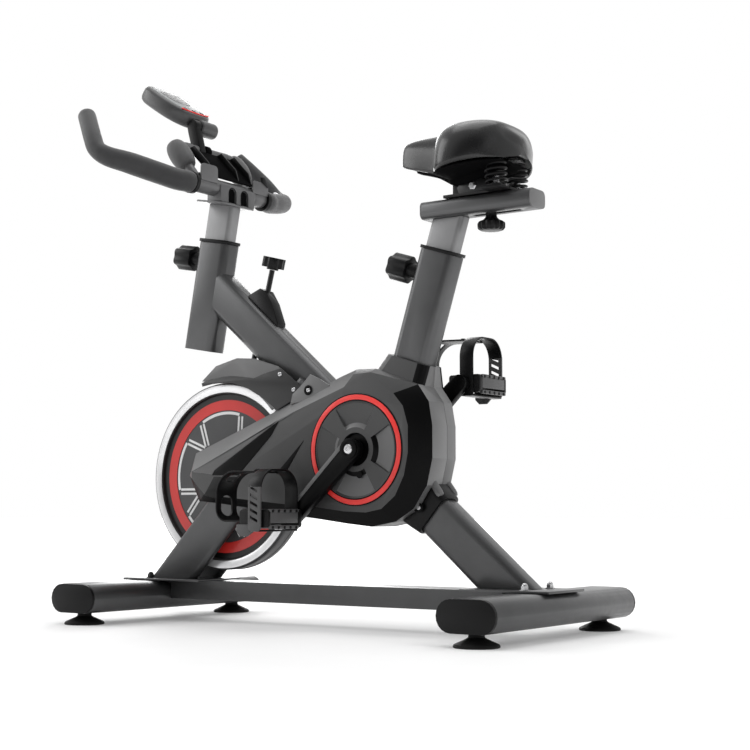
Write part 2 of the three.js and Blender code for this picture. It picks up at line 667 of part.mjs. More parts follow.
function addPedal(side, onSide, [x, z]) {
  const block = slab([[-32, -16], [32, -16], [32, 16], [-32, 16]], PEDAL_INNER_Y, PEDAL_OUTER_Y);
  const core = rodAcross(6.6, PEDAL_INNER_Y - 5, PEDAL_OUTER_Y - 6, [0, 0], 16);
  const window = (x0, x1) => slab([[x0, -30], [x1, -30], [x1, 30], [x0, 30]], 98, 166);
  const body = cut(block, core, window(-24, -13), window(13, 24)).translate(x, 0, z);
  add(`pedal_${side}`, onSide(body), blackPlastic());

  const band = 3;
  const strap = strapLoop(PEDAL_INNER_Y - 0.4, PEDAL_OUTER_Y + 4, 81, band);
  const bowPath = (offset) => [
    [-33.5, -3 - offset], [-76, -3 - offset], ...arc(-78, 17, 20 + offset, 270, 180, 4),
    ...arc(-60, 41, 38 + offset, 172, 90, 6), [-2, 77 + offset],
  ];
  const bow = slab([...bowPath(0), ...bowPath(band).reverse()], 106, 160);
  const frontWindow = leaning(roundedRect(30, 32, 12), -150, -60, [0, 22], Math.PI / 2)
    .translate(0, 133, 0);
  const lug = slab([[-42, -10], [-32.4, -10], [-32.4, 10], [-42, 10]], 108, 156);
  const spindleHole = rodAcross(7.5, 70, 100, [0, 0], 16);
  const cage = cut(join(strap, cut(bow, frontWindow), lug), spindleHole).translate(x, 0, z);
  add(`toe_cage_${side}`, onSide(cage), blackPlastic());
}

// The strap's loop round the pedal, seen along X, with rounded shoulders at the top.
function strapLoop(y0, y1, top, thickness) {
  const bottom = -19;
  const width = y1 - y0;
  const middle = [(y0 + y1) / 2, (top + bottom) / 2];
  const shoulder = 34;
  const outline = (offset) => {
    const halfWidth = width / 2 + offset;
    const halfHeight = (top - bottom) / 2 + offset;
    const radius = shoulder + offset;
    const [cx, cy] = middle;
    return [
      [cx - halfWidth, cy - halfHeight], [cx + halfWidth, cy - halfHeight],
      ...arc(cx + halfWidth - radius, cy + halfHeight - radius, radius, 0, 90, 5),
      ...arc(cx - halfWidth + radius, cy + halfHeight - radius, radius, 90, 180, 5),
    ];
  };
  return across(outline(thickness), -7, 20, [outline(0)]);
}

// ---- handlebar and console

function barCurve() {
  const [x, z] = HANDLEBAR_AXIS;
  const half = [
    [x, HANDLEBAR_STRAIGHT_Y / 2, z],
    [x, HANDLEBAR_STRAIGHT_Y, z],
    [x - 9, 132, z + 2],
    [x - 22, 174, z + 9],
    [x - 45, 221, z + 20],
    [x - 71, 248, z + 28],
    [x - 92, 254, z + 42],
    [x - 111, 246, z + 66],
    [x - 136, 230, z + 95],
    [x - 160, 214, z + 121],
  ];
  const point = ([px, py, pz], sign) => new THREE.Vector3(px, sign * py, pz);
  return new THREE.CatmullRomCurve3([
    ...half.map((p) => point(p, -1)).reverse(),
    new THREE.Vector3(x, 0, z),
    ...half.map((p) => point(p, 1)),
  ]);
}

function addHandlebar() {
  const curve = barCurve();
  add('handlebar', swept(curve, HANDLEBAR_RADIUS, 44, 10), framePaint());
  const start = curveParameterAtY(curve, HANDLEBAR_STRAIGHT_Y + 1);
  const samples = 24;
  const points = Array.from({ length: samples + 1 }, (_, i) => (
    curve.getPoint(start + (1 - start) * i / samples)));
  const grip = swept(new THREE.CatmullRomCurve3(points), GRIP_RADIUS, 20, 10, HANDLEBAR_RADIUS + 2);
  add('grip_right', grip, foam());
  add('grip_left', mirrored(grip), foam());
}

function curveParameterAtY(curve, y) {
  let low = 0.5;
  let high = 1 - 0.2;
  for (let i = 0; i < 40; i += 1) {
    const middle = (low + high) / 2;
    if (curve.getPoint(middle).y < y) {
      low = middle;
    } else {
      high = middle;
    }
  }
  return low;
}

function addHandlebarPost() {
  const post = leaning(
    postSection(0), 62, PLATE_S - GAP, HEAD_FOOT, HEAD_LEAN, [postSection(-2.5)]);
  add('handlebar_post', post, silverPost());
  const plate = leaning(roundedRect(78, 56, 8), PLATE_S, PLATE_S + 3.5, HEAD_FOOT, HEAD_LEAN);
  const barS = 308;
  const cradle = leaning(roundedRect(24, 92, 3), PLATE_S + 2, barS, HEAD_FOOT, HEAD_LEAN);
  const bar = rodAcross(HANDLEBAR_RADIUS + 0.6, -60, 60, HANDLEBAR_AXIS);
  const arches = [-15, 15].map((y) => {
    const outline = [[-8, 0], [8, 0], ...arc(0, 10, 8, 0, 180, 6)];
    const pocket = across(outline, -4, 26).translate(0, y, PLATE_S + 4);
    return pocket.rotateY(HEAD_LEAN).translate(HEAD_FOOT[0], 0, HEAD_FOOT[1]);
  });
  add('handlebar_clamp', cut(join(plate, cradle), bar, ...arches), framePaint());
}

function addInnerBar() {
  const [x, z] = INNER_BAR_AXIS;
  const start = [HANDLEBAR_AXIS[0] - 8.2, HANDLEBAR_AXIS[1] + 11];
  const half = [
    [x + 1, 30, z], [x + 4, 58, z - 1], [x + 7, 74, z - 6], [x + 15, 82, z - 22], [x + 31, 82, z - 44],
    [start[0], 80, start[1]],
  ];
  const curve = new THREE.CatmullRomCurve3([
    ...half.map(([px, py, pz]) => new THREE.Vector3(px, -py, pz)).reverse(),
    new THREE.Vector3(x, 0, z),
    ...half.map(([px, py, pz]) => new THREE.Vector3(px, py, pz)),
  ]);
  const tube = swept(curve, INNER_BAR_RADIUS, 30, 8);
  const padAxis = new THREE.Vector3(0.62, 0, -0.785);
  const pad = (side) => {
    const profile = [[0, -26], [14, -24], [18.5, -14], [18.5, 16], [15, 23], [0, 24]]
      .map(([r, y]) => new THREE.Vector2(r, y));
    const geometry = new THREE.LatheGeometry(profile, 14);
    const turn = new THREE.Quaternion().setFromUnitVectors(new THREE.Vector3(0, 1, 0), padAxis);
    return geometry.applyQuaternion(turn).translate(x + 15, side * 82, z - 25);
  };
  add('inner_bar', join(tube, pad(-1), pad(1)), foam());
}

function addTabletHolder() {
  const tray = slab([[-246, 823], [-241, 827], [-299, 886], [-303, 883]], -60, 60);
  const [barX, barZ] = HANDLEBAR_AXIS;
  const clips = [-73.5, 73.5].map((y) => cut(
    slab([
      [barX + 6, barZ - 14], [barX + 16.5, barZ - 14], [barX + 16.5, barZ + 33],
      [barX + 12.5, barZ + 33], [barX + 12.5, barZ + 14], [barX + 6, barZ + 14],
    ], y - 23.5, y + 23.5),
    rodAcross(HANDLEBAR_RADIUS + 1.2, y - 30, y + 30, HANDLEBAR_AXIS),
  ));
  add('tablet_holder', join(tray, ...clips), greyPlastic());
}

function addConsole() {
  const [hx, hz] = CONSOLE_HINGE;
  const [bx, bz] = INNER_BAR_AXIS;
  const knuckle = rodAcross(15, -12, 12, CONSOLE_HINGE);
  const neck = slab([[bx + 10, bz - 10], [bx + 12, bz + 12], [hx + 12, hz], [hx - 12, hz - 4],
    [bx - 14, bz + 10], [bx - 12, bz - 9]], -12, 12);
  const tubeHole = rodAcross(INNER_BAR_RADIUS + 0.6, -20, 20, INNER_BAR_AXIS);
  add('console_bracket', cut(join(knuckle, neck), tubeHole), blackPlastic());

  // The housing in its own plane: u runs forward and up along the screen, w across the bike.
  const plan = (scale) => {
    const right = [[148, 12], [140, 36], [118, 54], [80, 58], [40, 50], [14, 34]];
    const left = right.map(([u, w]) => [u, -w]).reverse();
    return [...right, ...left].map(([u, w]) => [80 + (u - 80) * scale, w * scale]);
  };
  const levels = [-12, -6, 12, 20];
  const scales = [0.86, 1, 1, 0.93];
  const forward = new THREE.Vector3(-Math.cos(CONSOLE_SLOPE), 0, Math.sin(CONSOLE_SLOPE));
  const outward = new THREE.Vector3(Math.sin(CONSOLE_SLOPE), 0, Math.cos(CONSOLE_SLOPE));
  const centre = new THREE.Vector3(hx, 0, hz);
  const housing = loft(scales.map(plan), ([u, w], i) => centre.clone()
    .addScaledVector(forward, u)
    .addScaledVector(outward, levels[i])
    .add(new THREE.Vector3(0, w, 0)));
  const barrel = rodAcross(16, -37, 37, CONSOLE_HINGE);
  const knuckleSpace = rodAcross(18, -12.5, 12.5, CONSOLE_HINGE);
  add('console', cut(join(housing, barrel), knuckleSpace), blackPlastic());
}

// ---- seat post and saddle

function addSeat() {
  const slider = slab([[SLIDER_X[0], SLIDER_BOTTOM_Z - GAP], [SLIDER_X[1], SLIDER_BOTTOM_Z - GAP],
    [SLIDER_X[1], 900], [SLIDER_X[0], 900]], -60, 60);
  const post = leaning(postSection(0), 205, 500, SEAT_FOOT, SEAT_LEAN, [postSection(-2.5)]);
  add('seat_post', cut(post, slider), silverPost());

  const height = SLIDER_TOP_Z - SLIDER_BOTTOM_Z;
  const middle = (SLIDER_TOP_Z + SLIDER_BOTTOM_Z) / 2;
  const section = (grow) => roundedRect(2 * SLIDER_HALF_DEPTH + 2 * grow, height + 2 * grow, 10 + grow, 3);
  const [x0, x1] = SLIDER_X;
  const tube = across(section(0), x0, x1).translate(0, 0, middle);
  const hollow = across(section(-WALL), x0 + 4, x1 - 4).translate(0, 0, middle);
  const topSlot = new THREE.BoxGeometry(150, 12, 20).translate(304, 0, SLIDER_TOP_Z);
  const bottomSlot = new THREE.BoxGeometry(90, 12, 20).translate(334, 0, SLIDER_BOTTOM_Z);
  add('saddle_slider', cut(tube, hollow, topSlot, bottomSlot), framePaint());
  addSaddle();
}

function addSaddle() {
  const plateZ = SLIDER_TOP_Z + GAP;
  const plate = new THREE.BoxGeometry(130, 48, 5).translate(307, 0, plateZ + 2.5);
  const springBar = new THREE.BoxGeometry(38, 106, 5).translate(352, 0, plateZ + 2.5);
  const clamp = new THREE.BoxGeometry(58, 34, 21).translate(286, 0, plateZ + 13);
  const bolt = new THREE.CylinderGeometry(5, 5, 28, 16).rotateX(Math.PI / 2)
    .translate(SADDLE_BOLT_X, 0, plateZ - 11);
  add('saddle_carriage', join(plate, springBar, clamp, bolt), darkSteel());

  // Saddle sections from nose to tail: x, half width, bottom and top.
  const stations = [
    [150, 9, 812, 824], [155, 20, 804, 831], [167, 31, 796, 837], [190, 38, 787, 841],
    [215, 43, 778, 844], [236, 49, 770, 846], [250, 61, 764, 847], [262, 79, 760, 848],
    [275, 96, 758, 849], [295, 105, 760, 850], [316, 103, 764, 850], [335, 92, 768, 848],
    [351, 78, 770, 844], [366, 59, 773, 838], [379, 38, 776, 830], [388, 16, 781, 821],
  ];
  const ring = ([, half, bottom, top]) => {
    const height = top - bottom;
    const points = [];
    for (let i = 0; i <= 12; i += 1) {
      const a = Math.PI * i / 12;
      const across = Math.sign(Math.cos(a)) * Math.abs(Math.cos(a)) ** 0.6;
      points.push([half * across, bottom + height * Math.sin(a) ** 0.7]);
    }
    return points;
  };
  const cushion = loft(stations.map(ring), ([y, z], i) => new THREE.Vector3(stations[i][0], y, z));
  add('saddle_cushion', cushion, leather());
  const pan = stations.slice(3, 14).map(([x, half, bottom]) => [x, half * 0.88, bottom - 7, bottom - 0.4]);
  const flat = ([, half, bottom, top]) => [[-half, bottom], [half, bottom], [half, top], [-half, top]];
  const base = loft(pan.map(flat), ([y, z], i) => new THREE.Vector3(pan[i][0], y, z));
  const clampSpace = new THREE.BoxGeometry(60, 36, 21).translate(286, 0, plateZ + 13.4);
  add('saddle_base', cut(base, clampSpace), blackPlastic());
}

// ---- adjusting knobs

function addKnobs() {
  for (const [name, foot, lean, s] of [
    ['head_knob', HEAD_FOOT, HEAD_LEAN, HEAD_PIN_S],
    ['seat_knob', SEAT_FOOT, SEAT_LEAN, SEAT_PIN_S],
  ]) {
    const tubeFace = TUBE_WIDTH / 2 + GAP;
    const round = (radius, d0, d1) => {
      const rod = new THREE.CylinderGeometry(radius, radius, d1 - d0, 20).rotateZ(Math.PI / 2);
      return rod.translate(-(d0 + d1) / 2, 0, s).rotateY(lean).translate(foot[0], 0, foot[1]);
    };
    const star = shapeOf(lobed(24, 3.5, 6, 8));
    const grip = new THREE.ExtrudeGeometry(star, { depth: 38, bevelEnabled: false })
      .rotateY(-Math.PI / 2).translate(-tubeFace - 18, 0, s)
      .rotateY(lean).translate(foot[0], 0, foot[1]);
    const pin = round(5, POST_WIDTH / 2 + 0.8, tubeFace + 4);
    add(name, join(grip, round(13, tubeFace, tubeFace + 19), pin), blackPlastic());
  }
  const body = new THREE.ExtrudeGeometry(shapeOf(lobed(19.5, 2, 10)), { depth: 15, bevelEnabled: false });
  const neck = new THREE.CylinderGeometry(9, 13, 14, 20).rotateX(Math.PI / 2);
  const knob = join(body.translate(0, 0, -28), neck.translate(0, 0, -7.4));
  const slide = add('slide_knob', knob, blackPlastic());
  slide.position.set(SADDLE_BOLT_X, 0, SLIDER_BOTTOM_Z);
}

addStabilizers();
addTransportWheels();
addFeet();
addTieBeam();
addForkLegs();
addFrameTubes();
addBottomBracket();
addBeltGuard();
addRearLegBoot();
addFlywheel();
addBelt();
addFender();
addBrake();
addCrankset();
addHandlebar();
addHandlebarPost();
addInnerBar();
addTabletHolder();
addConsole();
addSeat();
addKnobs();

export default bike;
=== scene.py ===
"""Looks for the indoor spin bike: materials, shells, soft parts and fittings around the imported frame."""
import json
import math

import bmesh
import bpy
from mathutils import Matrix, Vector


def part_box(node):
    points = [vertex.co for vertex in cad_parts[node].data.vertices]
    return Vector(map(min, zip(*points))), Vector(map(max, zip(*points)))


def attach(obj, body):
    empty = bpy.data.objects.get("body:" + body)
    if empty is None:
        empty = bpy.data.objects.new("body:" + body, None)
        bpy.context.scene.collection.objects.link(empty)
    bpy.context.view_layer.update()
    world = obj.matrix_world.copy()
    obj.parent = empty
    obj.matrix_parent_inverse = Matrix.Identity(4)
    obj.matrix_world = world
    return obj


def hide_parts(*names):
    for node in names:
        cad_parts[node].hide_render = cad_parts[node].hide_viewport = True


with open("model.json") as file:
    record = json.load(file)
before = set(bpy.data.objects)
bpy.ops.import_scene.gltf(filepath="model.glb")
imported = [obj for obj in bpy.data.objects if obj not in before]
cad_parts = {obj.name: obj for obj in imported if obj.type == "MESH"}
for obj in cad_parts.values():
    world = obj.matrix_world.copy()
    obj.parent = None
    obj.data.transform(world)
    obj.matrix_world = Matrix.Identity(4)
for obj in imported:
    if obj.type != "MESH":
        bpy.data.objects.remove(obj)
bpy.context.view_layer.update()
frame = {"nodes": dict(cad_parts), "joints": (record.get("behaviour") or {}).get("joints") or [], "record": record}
MM = 0.001
SIDES = (("left", -1), ("right", 1))
ACROSS = Vector((0, 1, 0))
UP = Vector((0, 0, 1))
LEFT = Vector((0, -1, 0))


# ------------------------------------------------------------------ places read from the frame

def centre(node):
    low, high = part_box(node)
    return (low + high) / 2


RECORD = frame["record"]
BODY_OF = {node: body for body, members in RECORD["behaviour"]["bodies"].items() for node in members}
SLOT_OF = {entry["node"]: entry["material_slot"] for entry in RECORD["subparts"]}
CRANK = centre("crank_axle")
FLYWHEEL = centre("flywheel")
JOINTS = {joint["name"]: joint for joint in frame["joints"]}


# ------------------------------------------------------------------ materials

def feed(tree, node, inputs):
    """Fills a node's inputs, each with a plain value or with the output that drives it."""
    for name, value in inputs.items():
        if isinstance(value, bpy.types.NodeSocket):
            tree.links.new(value, node.inputs[name])
        else:
            node.inputs[name].default_value = value


def add(tree, kind, inputs=(), **settings):
    """A new node with its own settings and its inputs filled."""
    node = tree.nodes.new("ShaderNode" + kind)
    for name, value in settings.items():
        setattr(node, name, value)
    feed(tree, node, dict(inputs))
    return node


def vector_math(tree, operation, *values):
    node = add(tree, "VectorMath", operation=operation)
    feed(tree, node, dict(enumerate(values)))
    return node.outputs


def new_material(name):
    material = bpy.data.materials.new(name)
    material.use_nodes = True
    return material, material.node_tree, material.node_tree.nodes["Principled BSDF"]


def noise(tree, vector, scale, detail=4.0, roughness=0.55):
    inputs = {"Vector": vector, "Scale": scale, "Detail": detail, "Roughness": roughness}
    return add(tree, "TexNoise", inputs).outputs["Fac"]


def cells(tree, vector, scale):
    return add(tree, "TexVoronoi", {"Vector": vector, "Scale": scale}).outputs["Distance"]


def ramp(tree, factor, low, high, start=0.3, end=0.7):
    node = add(tree, "ValToRGB", {"Fac": factor})
    for element, position, colour in zip(node.color_ramp.elements, (start, end), (low, high)):
        element.position = position
        element.color = (*colour, 1)
    return node.outputs["Color"]


def spread(tree, factor, low, high):
    return add(tree, "MapRange", {"Value": factor, "To Min": low, "To Max": high}).outputs["Result"]


def bump(tree, height, distance, strength, below=None):
    node = add(tree, "Bump", {"Height": height, "Distance": distance, "Strength": strength})
    if below is not None:
        feed(tree, node, {"Normal": below})
    return node.outputs["Normal"]


def object_coordinates(tree, stretch=(1, 1, 1)):
    vector = add(tree, "TexCoord").outputs["Object"]
    return add(tree, "Mapping", {"Vector": vector, "Scale": stretch}).outputs["Vector"]


def edge_wear(tree, base, worn, amount):
    """Lightens the convex edges a little."""
    pointiness = add(tree, "NewGeometry").outputs["Pointiness"]
    edges = ramp(tree, pointiness, (0, 0, 0), (amount, amount, amount), 0.53, 0.66)
    inputs = {"Factor": edges, "A": base, "B": (*worn, 1)}
    return add(tree, "Mix", inputs, data_type="RGBA").outputs["Result"]


def scaled(colour, factor):
    return tuple(min(1.0, c * factor) for c in colour)


def mottled(tree, factor, colour, dark, light):
    return ramp(tree, factor, scaled(colour, dark), scaled(colour, light))


def powder_coat(name, colour, roughness, metallic, coat):
    """Satin powder coat: fine orange peel, mottled gloss, slightly worn edges."""
    material, tree, shader = new_material(name)
    vector = object_coordinates(tree)
    base = mottled(tree, noise(tree, vector, 9, 5), colour, 0.9, 1.12)
    feed(tree, shader, {
        "Base Color": edge_wear(tree, base, scaled(colour, 1.9), 0.35),
        "Roughness": spread(tree, noise(tree, vector, 60, 3), roughness - 0.07, roughness + 0.08),
        "Normal": bump(tree, noise(tree, vector, 700, 2), 0.00012, 0.6),
        "Metallic": metallic, "Coat Weight": coat, "Coat Roughness": 0.25})
    return material


def moulded(name, colour, roughness, gloss=0.5, grain=0.00012, grain_scale=1100):
    """Injection-moulded plastic: spark-eroded grain, faint flow marks, uneven sheen."""
    material, tree, shader = new_material(name)
    vector = object_coordinates(tree)
    base = mottled(tree, noise(tree, vector, 6, 3, 0.4), colour, 0.88, 1.15)
    feed(tree, shader, {
        "Base Color": edge_wear(tree, base, scaled(colour, 2.2), 0.4),
        "Roughness": spread(tree, noise(tree, vector, 45, 4), roughness - 0.08, roughness + 0.08),
        "Normal": bump(tree, cells(tree, vector, grain_scale), grain, 0.5),
        "Specular IOR Level": gloss})
    return material


def leather(name, colour):
    """Coated leather: pebbled grain in two sizes, soft creases and a polished coat."""
    material, tree, shader = new_material(name)
    vector = object_coordinates(tree)
    base = mottled(tree, noise(tree, vector, 14, 5), colour, 0.75, 1.3)
    fine = bump(tree, cells(tree, vector, 620), 0.00018, 0.5)
    coarse = bump(tree, cells(tree, vector, 260), 0.0002, 0.3, fine)
    feed(tree, shader, {
        "Base Color": edge_wear(tree, base, scaled(colour, 3.0), 0.25),
        "Roughness": spread(tree, noise(tree, vector, 22, 4), 0.2, 0.36),
        "Normal": bump(tree, noise(tree, vector, 30, 3), 0.0012, 0.25, coarse),
        "Specular IOR Level": 0.35, "Coat Weight": 0.35, "Coat Roughness": 0.16})
    return material


def foam(name, colour):
    """Closed-cell foam sleeve: dense pores and a matt, faintly dusty surface."""
    material, tree, shader = new_material(name)
    vector = object_coordinates(tree)
    dust = noise(tree, vector, 35, 6)
    pores = bump(tree, cells(tree, vector, 850), 0.0004, 0.8)
    feed(tree, shader, {
        "Base Color": mottled(tree, dust, colour, 0.8, 1.5),
        "Roughness": spread(tree, dust, 0.5, 0.72),
        "Normal": bump(tree, noise(tree, vector, 90, 4), 0.0006, 0.35, pores),
        "Sheen Weight": 0.25, "Sheen Roughness": 0.4})
    return material


def brushed(name, colour, roughness, stretch, metallic=1.0):
    """Brushed or drawn metal with fine lines across one direction and light stains."""
    material, tree, shader = new_material(name)
    lines = noise(tree, object_coordinates(tree, stretch), 60, 6, 0.7)
    stain = noise(tree, object_coordinates(tree), 12, 4)
    feed(tree, shader, {
        "Base Color": mottled(tree, stain, colour, 0.85, 1.08),
        "Roughness": spread(tree, lines, roughness - 0.1, roughness + 0.12),
        "Normal": bump(tree, lines, 0.00006, 0.5),
        "Metallic": metallic})
    return material


def turned_metal(name, colour, roughness, metallic, coat=0.0):
    """Metal or paint with the fine concentric lines that a lathe leaves, round the flywheel's axle."""
    material, tree, shader = new_material(name)
    position = add(tree, "TexCoord").outputs["Object"]
    shifted = vector_math(tree, "SUBTRACT", position, FLYWHEEL)["Vector"]
    flat = vector_math(tree, "MULTIPLY", shifted, (1, 0, 1))["Vector"]
    radius = vector_math(tree, "LENGTH", flat)["Value"]
    rings = noise(tree, add(tree, "CombineXYZ", {"X": radius}).outputs["Vector"], 1400, 3, 0.7)
    stain = noise(tree, object_coordinates(tree), 15, 4)
    feed(tree, shader, {
        "Base Color": mottled(tree, stain, colour, 0.9, 1.06),
        "Roughness": spread(tree, rings, roughness - 0.08, roughness + 0.12),
        "Normal": bump(tree, rings, 0.00005, 0.5),
        "Metallic": metallic, "Coat Weight": coat})
    return material


# Each look: its name, its slot in the record, how it is made, its linear colour and its own values.
LOOKS = (
    ("frame_paint", "frame_paint", powder_coat, (0.082, 0.0825, 0.084), 0.36, 0.75, 0.15),
    ("clamp_paint", "silver_paint", powder_coat, (0.125, 0.125, 0.127), 0.42, 0.6, 0.1),
    ("black_steel", "black_steel", powder_coat, (0.003, 0.003, 0.0033), 0.36, 0.0, 0.05),
    ("silver_paint", "silver_paint", brushed, (0.27, 0.27, 0.274), 0.42, (1, 1, 0.04), 0.6),
    ("bright_steel", "bright_steel", brushed, (0.62, 0.62, 0.63), 0.25, (1, 40, 1)),
    ("guard_plastic", "guard_plastic", moulded, (0.04, 0.04, 0.0405), 0.4),
    # The guard plastic in four tones. The pale and black copies are partly the guard's own two-tone plastic and
    # partly painted light and shade on faces turned to and from the light.
    ("guard_dark", "guard_plastic", moulded, (0.012, 0.012, 0.0125), 0.4),
    ("guard_light", "guard_plastic", moulded, (0.115, 0.115, 0.116), 0.4),
    ("guard_black", "guard_plastic", moulded, (0.002, 0.002, 0.0022), 0.34, 0.1),
    ("black_plastic", "black_plastic", moulded, (0.0035, 0.0035, 0.0038), 0.36, 0.2),
    ("grey_plastic", "black_plastic", moulded, (0.065, 0.065, 0.066), 0.42),
    ("shade_black", "black_plastic", moulded, (0.0025, 0.0025, 0.0027), 0.85, 0.03),
    ("red_plastic", "red_plastic", moulded, (0.78, 0.035, 0.03), 0.36),
    ("console_plastic", "console_plastic", moulded, (0.045, 0.045, 0.046), 0.36),
    ("console_glass", "console_plastic", moulded, (0.2, 0.21, 0.212), 0.3, 0.3, 0.000002),
    ("rubber", "rubber", moulded, (0.006, 0.006, 0.006), 0.6, 0.2, 0.0003, 500),
    ("grip_foam", "grip_foam", foam, (0.022, 0.022, 0.023)),
    ("pad_foam", "grip_foam", foam, (0.06, 0.06, 0.061)),
    ("saddle_leather", "saddle_leather", leather, (0.0035, 0.0035, 0.0038)),
    ("flywheel_iron", "flywheel_iron", turned_metal, (0.86, 0.86, 0.87), 0.22, 0.6),
    ("flywheel_red", "flywheel_iron", turned_metal, (0.64, 0.026, 0.022), 0.38, 0.0, 0.2),
    ("flywheel_grey", "flywheel_iron", turned_metal, (0.06, 0.06, 0.062), 0.4, 0.2, 0.1),
    ("flywheel_black", "flywheel_iron", turned_metal, (0.004, 0.004, 0.004), 0.35, 0.0),
    ("flywheel_white", "flywheel_iron", turned_metal, (0.78, 0.78, 0.78), 0.4, 0.0, 0.1),
)
MATERIALS = {name: maker(name, *values) for name, _, maker, *values in LOOKS}


# ------------------------------------------------------------------ mesh helpers

def finish_mesh(obj, look, smooth_angle):
    obj.data.materials.clear()
    obj.data.materials.append(MATERIALS[look])
    for polygon in obj.data.polygons:
        polygon.use_smooth = True
    obj.data.set_sharp_from_angle(angle=math.radians(smooth_angle))


def evaluated_mesh(obj):
    depsgraph = bpy.context.evaluated_depsgraph_get()
    return bpy.data.meshes.new_from_object(obj.evaluated_get(depsgraph))


def baked(obj):
    """Replaces the object's mesh with the result of its modifiers."""
    result = evaluated_mesh(obj)
    obj.modifiers.clear()
    old = obj.data
    obj.data = result
    bpy.data.meshes.remove(old)
    return obj


def modified(obj, kind, **settings):
    """Applies one modifier."""
    modifier = obj.modifiers.new(kind.lower(), kind)
    for name, value in settings.items():
        setattr(modifier, name, value)
    return baked(obj)


SHOWN = set()


def place(obj, node, look=None, smooth_angle=35):
    """Shows a finished piece in place of a CAD node, on the node's body."""
    finish_mesh(obj, look or SLOT_OF[node], smooth_angle)
    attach(obj, BODY_OF[node])
    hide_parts(node)
    SHOWN.add(node)
    return obj


def fitting(obj, body, look, smooth_angle=35):
    """A small extra piece without a CAD node of its own."""
    finish_mesh(obj, look, smooth_angle)
    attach(obj, body)
    return obj


def linked(name, data):
    obj = bpy.data.objects.new(name, data)
    bpy.context.scene.collection.objects.link(obj)
    return obj


def from_bmesh(name, bm):
    bmesh.ops.recalc_face_normals(bm, faces=bm.faces)
    mesh = bpy.data.meshes.new(name)
    bm.to_mesh(mesh)
    bm.free()
    return linked(name, mesh)


def with_bevel(obj, width, angle=35):
    return modified(obj, "BEVEL", width=width, segments=2, limit_method="ANGLE",
                    angle_limit=math.radians(angle), use_clamp_overlap=True)


def refined(node, width=0.0008, look=None, angle=35):
    """A CAD node's own shape with clean faces, rounded edges and smooth shading."""
    bm = bmesh.new()
    bm.from_mesh(frame["nodes"][node].data)
    bmesh.ops.remove_doubles(bm, verts=bm.verts, dist=1e-6)
    bmesh.ops.dissolve_limit(bm, angle_limit=math.radians(1), verts=bm.verts, edges=bm.edges)
    obj = with_bevel(from_bmesh(node + "_skin", bm), width, angle)
    return place(obj, node, look)


# ------------------------------------------------------------------ shape helpers

def near(point, dx, y, dz):
    """A place given in millimetres in the side view from a point, and across the bike from its middle."""
    return Vector((point.x + dx * MM, y * MM, point.z + dz * MM))


def polar(radius, degrees):
    angle = math.radians(degrees)
    return radius * math.cos(angle), radius * math.sin(angle)


def arc(cx, cz, radius, start, end, steps):
    points = [polar(radius, start + (end - start) * i / steps) for i in range(steps + 1)]
    return [(cx + x, cz + z) for x, z in points]


def rounded(width, height, radius, cx=0, cz=0):
    x = width / 2 - radius
    z = height / 2 - radius
    corners = ((x, z, 0), (-x, z, 90), (-x, -z, 180), (x, -z, 270))
    return [point for dx, dz, start in corners
            for point in arc(cx + dx, cz + dz, radius, start, start + 90, 5)]


TURNS = {
    "X": Matrix(((0, 0, 1, 0), (1, 0, 0, 0), (0, 1, 0, 0), (0, 0, 0, 1))),
    "Y": Matrix(((1, 0, 0, 0), (0, 0, -1, 0), (0, 1, 0, 0), (0, 0, 0, 1))),
    "Z": Matrix.Identity(4),
}


def add_spline(curve, points):
    spline = curve.splines.new("POLY")
    spline.points.add(len(points) - 1)
    for target, point in zip(spline.points, points):
        target.co = (*point, 1)
    return spline


def from_curve(name, curve):
    """The mesh of a curve, with its doubled points merged."""
    holder = linked(name, curve)
    mesh = evaluated_mesh(holder)
    bpy.data.objects.remove(holder)
    bm = bmesh.new()
    bm.from_mesh(mesh)
    bpy.data.meshes.remove(mesh)
    bmesh.ops.remove_doubles(bm, verts=bm.verts, dist=1e-6)
    return bm


def prism(name, outline, origin, depth, axis="Y", holes=(), edge=0.4, turn=Matrix.Identity(4)):
    """An outline in millimetres, extruded both ways from its origin along an axis, with rounded edges."""
    curve = bpy.data.curves.new(name, "CURVE")
    curve.dimensions = "2D"
    curve.fill_mode = "BOTH"
    curve.extrude = (depth / 2 - edge) * MM
    curve.bevel_depth = edge * MM
    curve.bevel_resolution = 1
    curve.offset = -edge * MM
    for points in (outline, *holes):
        add_spline(curve, [(u * MM, v * MM, 0) for u, v in points]).use_cyclic_u = True
    bm = from_curve(name, curve)
    matrix = Matrix.Translation(origin) @ turn @ TURNS[axis]
    bmesh.ops.transform(bm, matrix=matrix, verts=bm.verts)
    for vert in bm.verts:
        vert.select = False
    return from_bmesh(name, bm)


def tube(name, points, radius, sides=5):
    """A round wire or rod in metres along a row of points."""
    curve = bpy.data.curves.new(name, "CURVE")
    curve.dimensions = "3D"
    curve.bevel_depth = radius
    curve.bevel_resolution = sides
    curve.use_fill_caps = True
    add_spline(curve, points)
    return from_bmesh(name, from_curve(name, curve))


def lathe(name, profile, origin, axis=ACROSS, segments=64, closed=False):
    """A profile of (radius, height) in millimetres, turned round an axis through the origin."""
    bm = bmesh.new()
    turn = UP.rotation_difference(Vector(axis)).to_matrix()
    rings = []
    for radius, height in profile:
        ring = []
        for i in range(1 if radius < 1e-6 else segments):
            angle = 2 * math.pi * i / segments
            local = Vector((radius * math.cos(angle), radius * math.sin(angle), height)) * MM
            ring.append(bm.verts.new(origin + turn @ local))
        rings.append(ring)
    following = rings[1:] + rings[:1] if closed else rings[1:]
    for first, second in zip(rings, following):
        for i in range(segments):
            j = (i + 1) % segments
            corners = [first[i % len(first)], first[j % len(first)],
                       second[j % len(second)], second[i % len(second)]]
            unique = list(dict.fromkeys(corners))
            if len(unique) > 2:
                bm.faces.new(unique)
    return from_bmesh(name, bm)


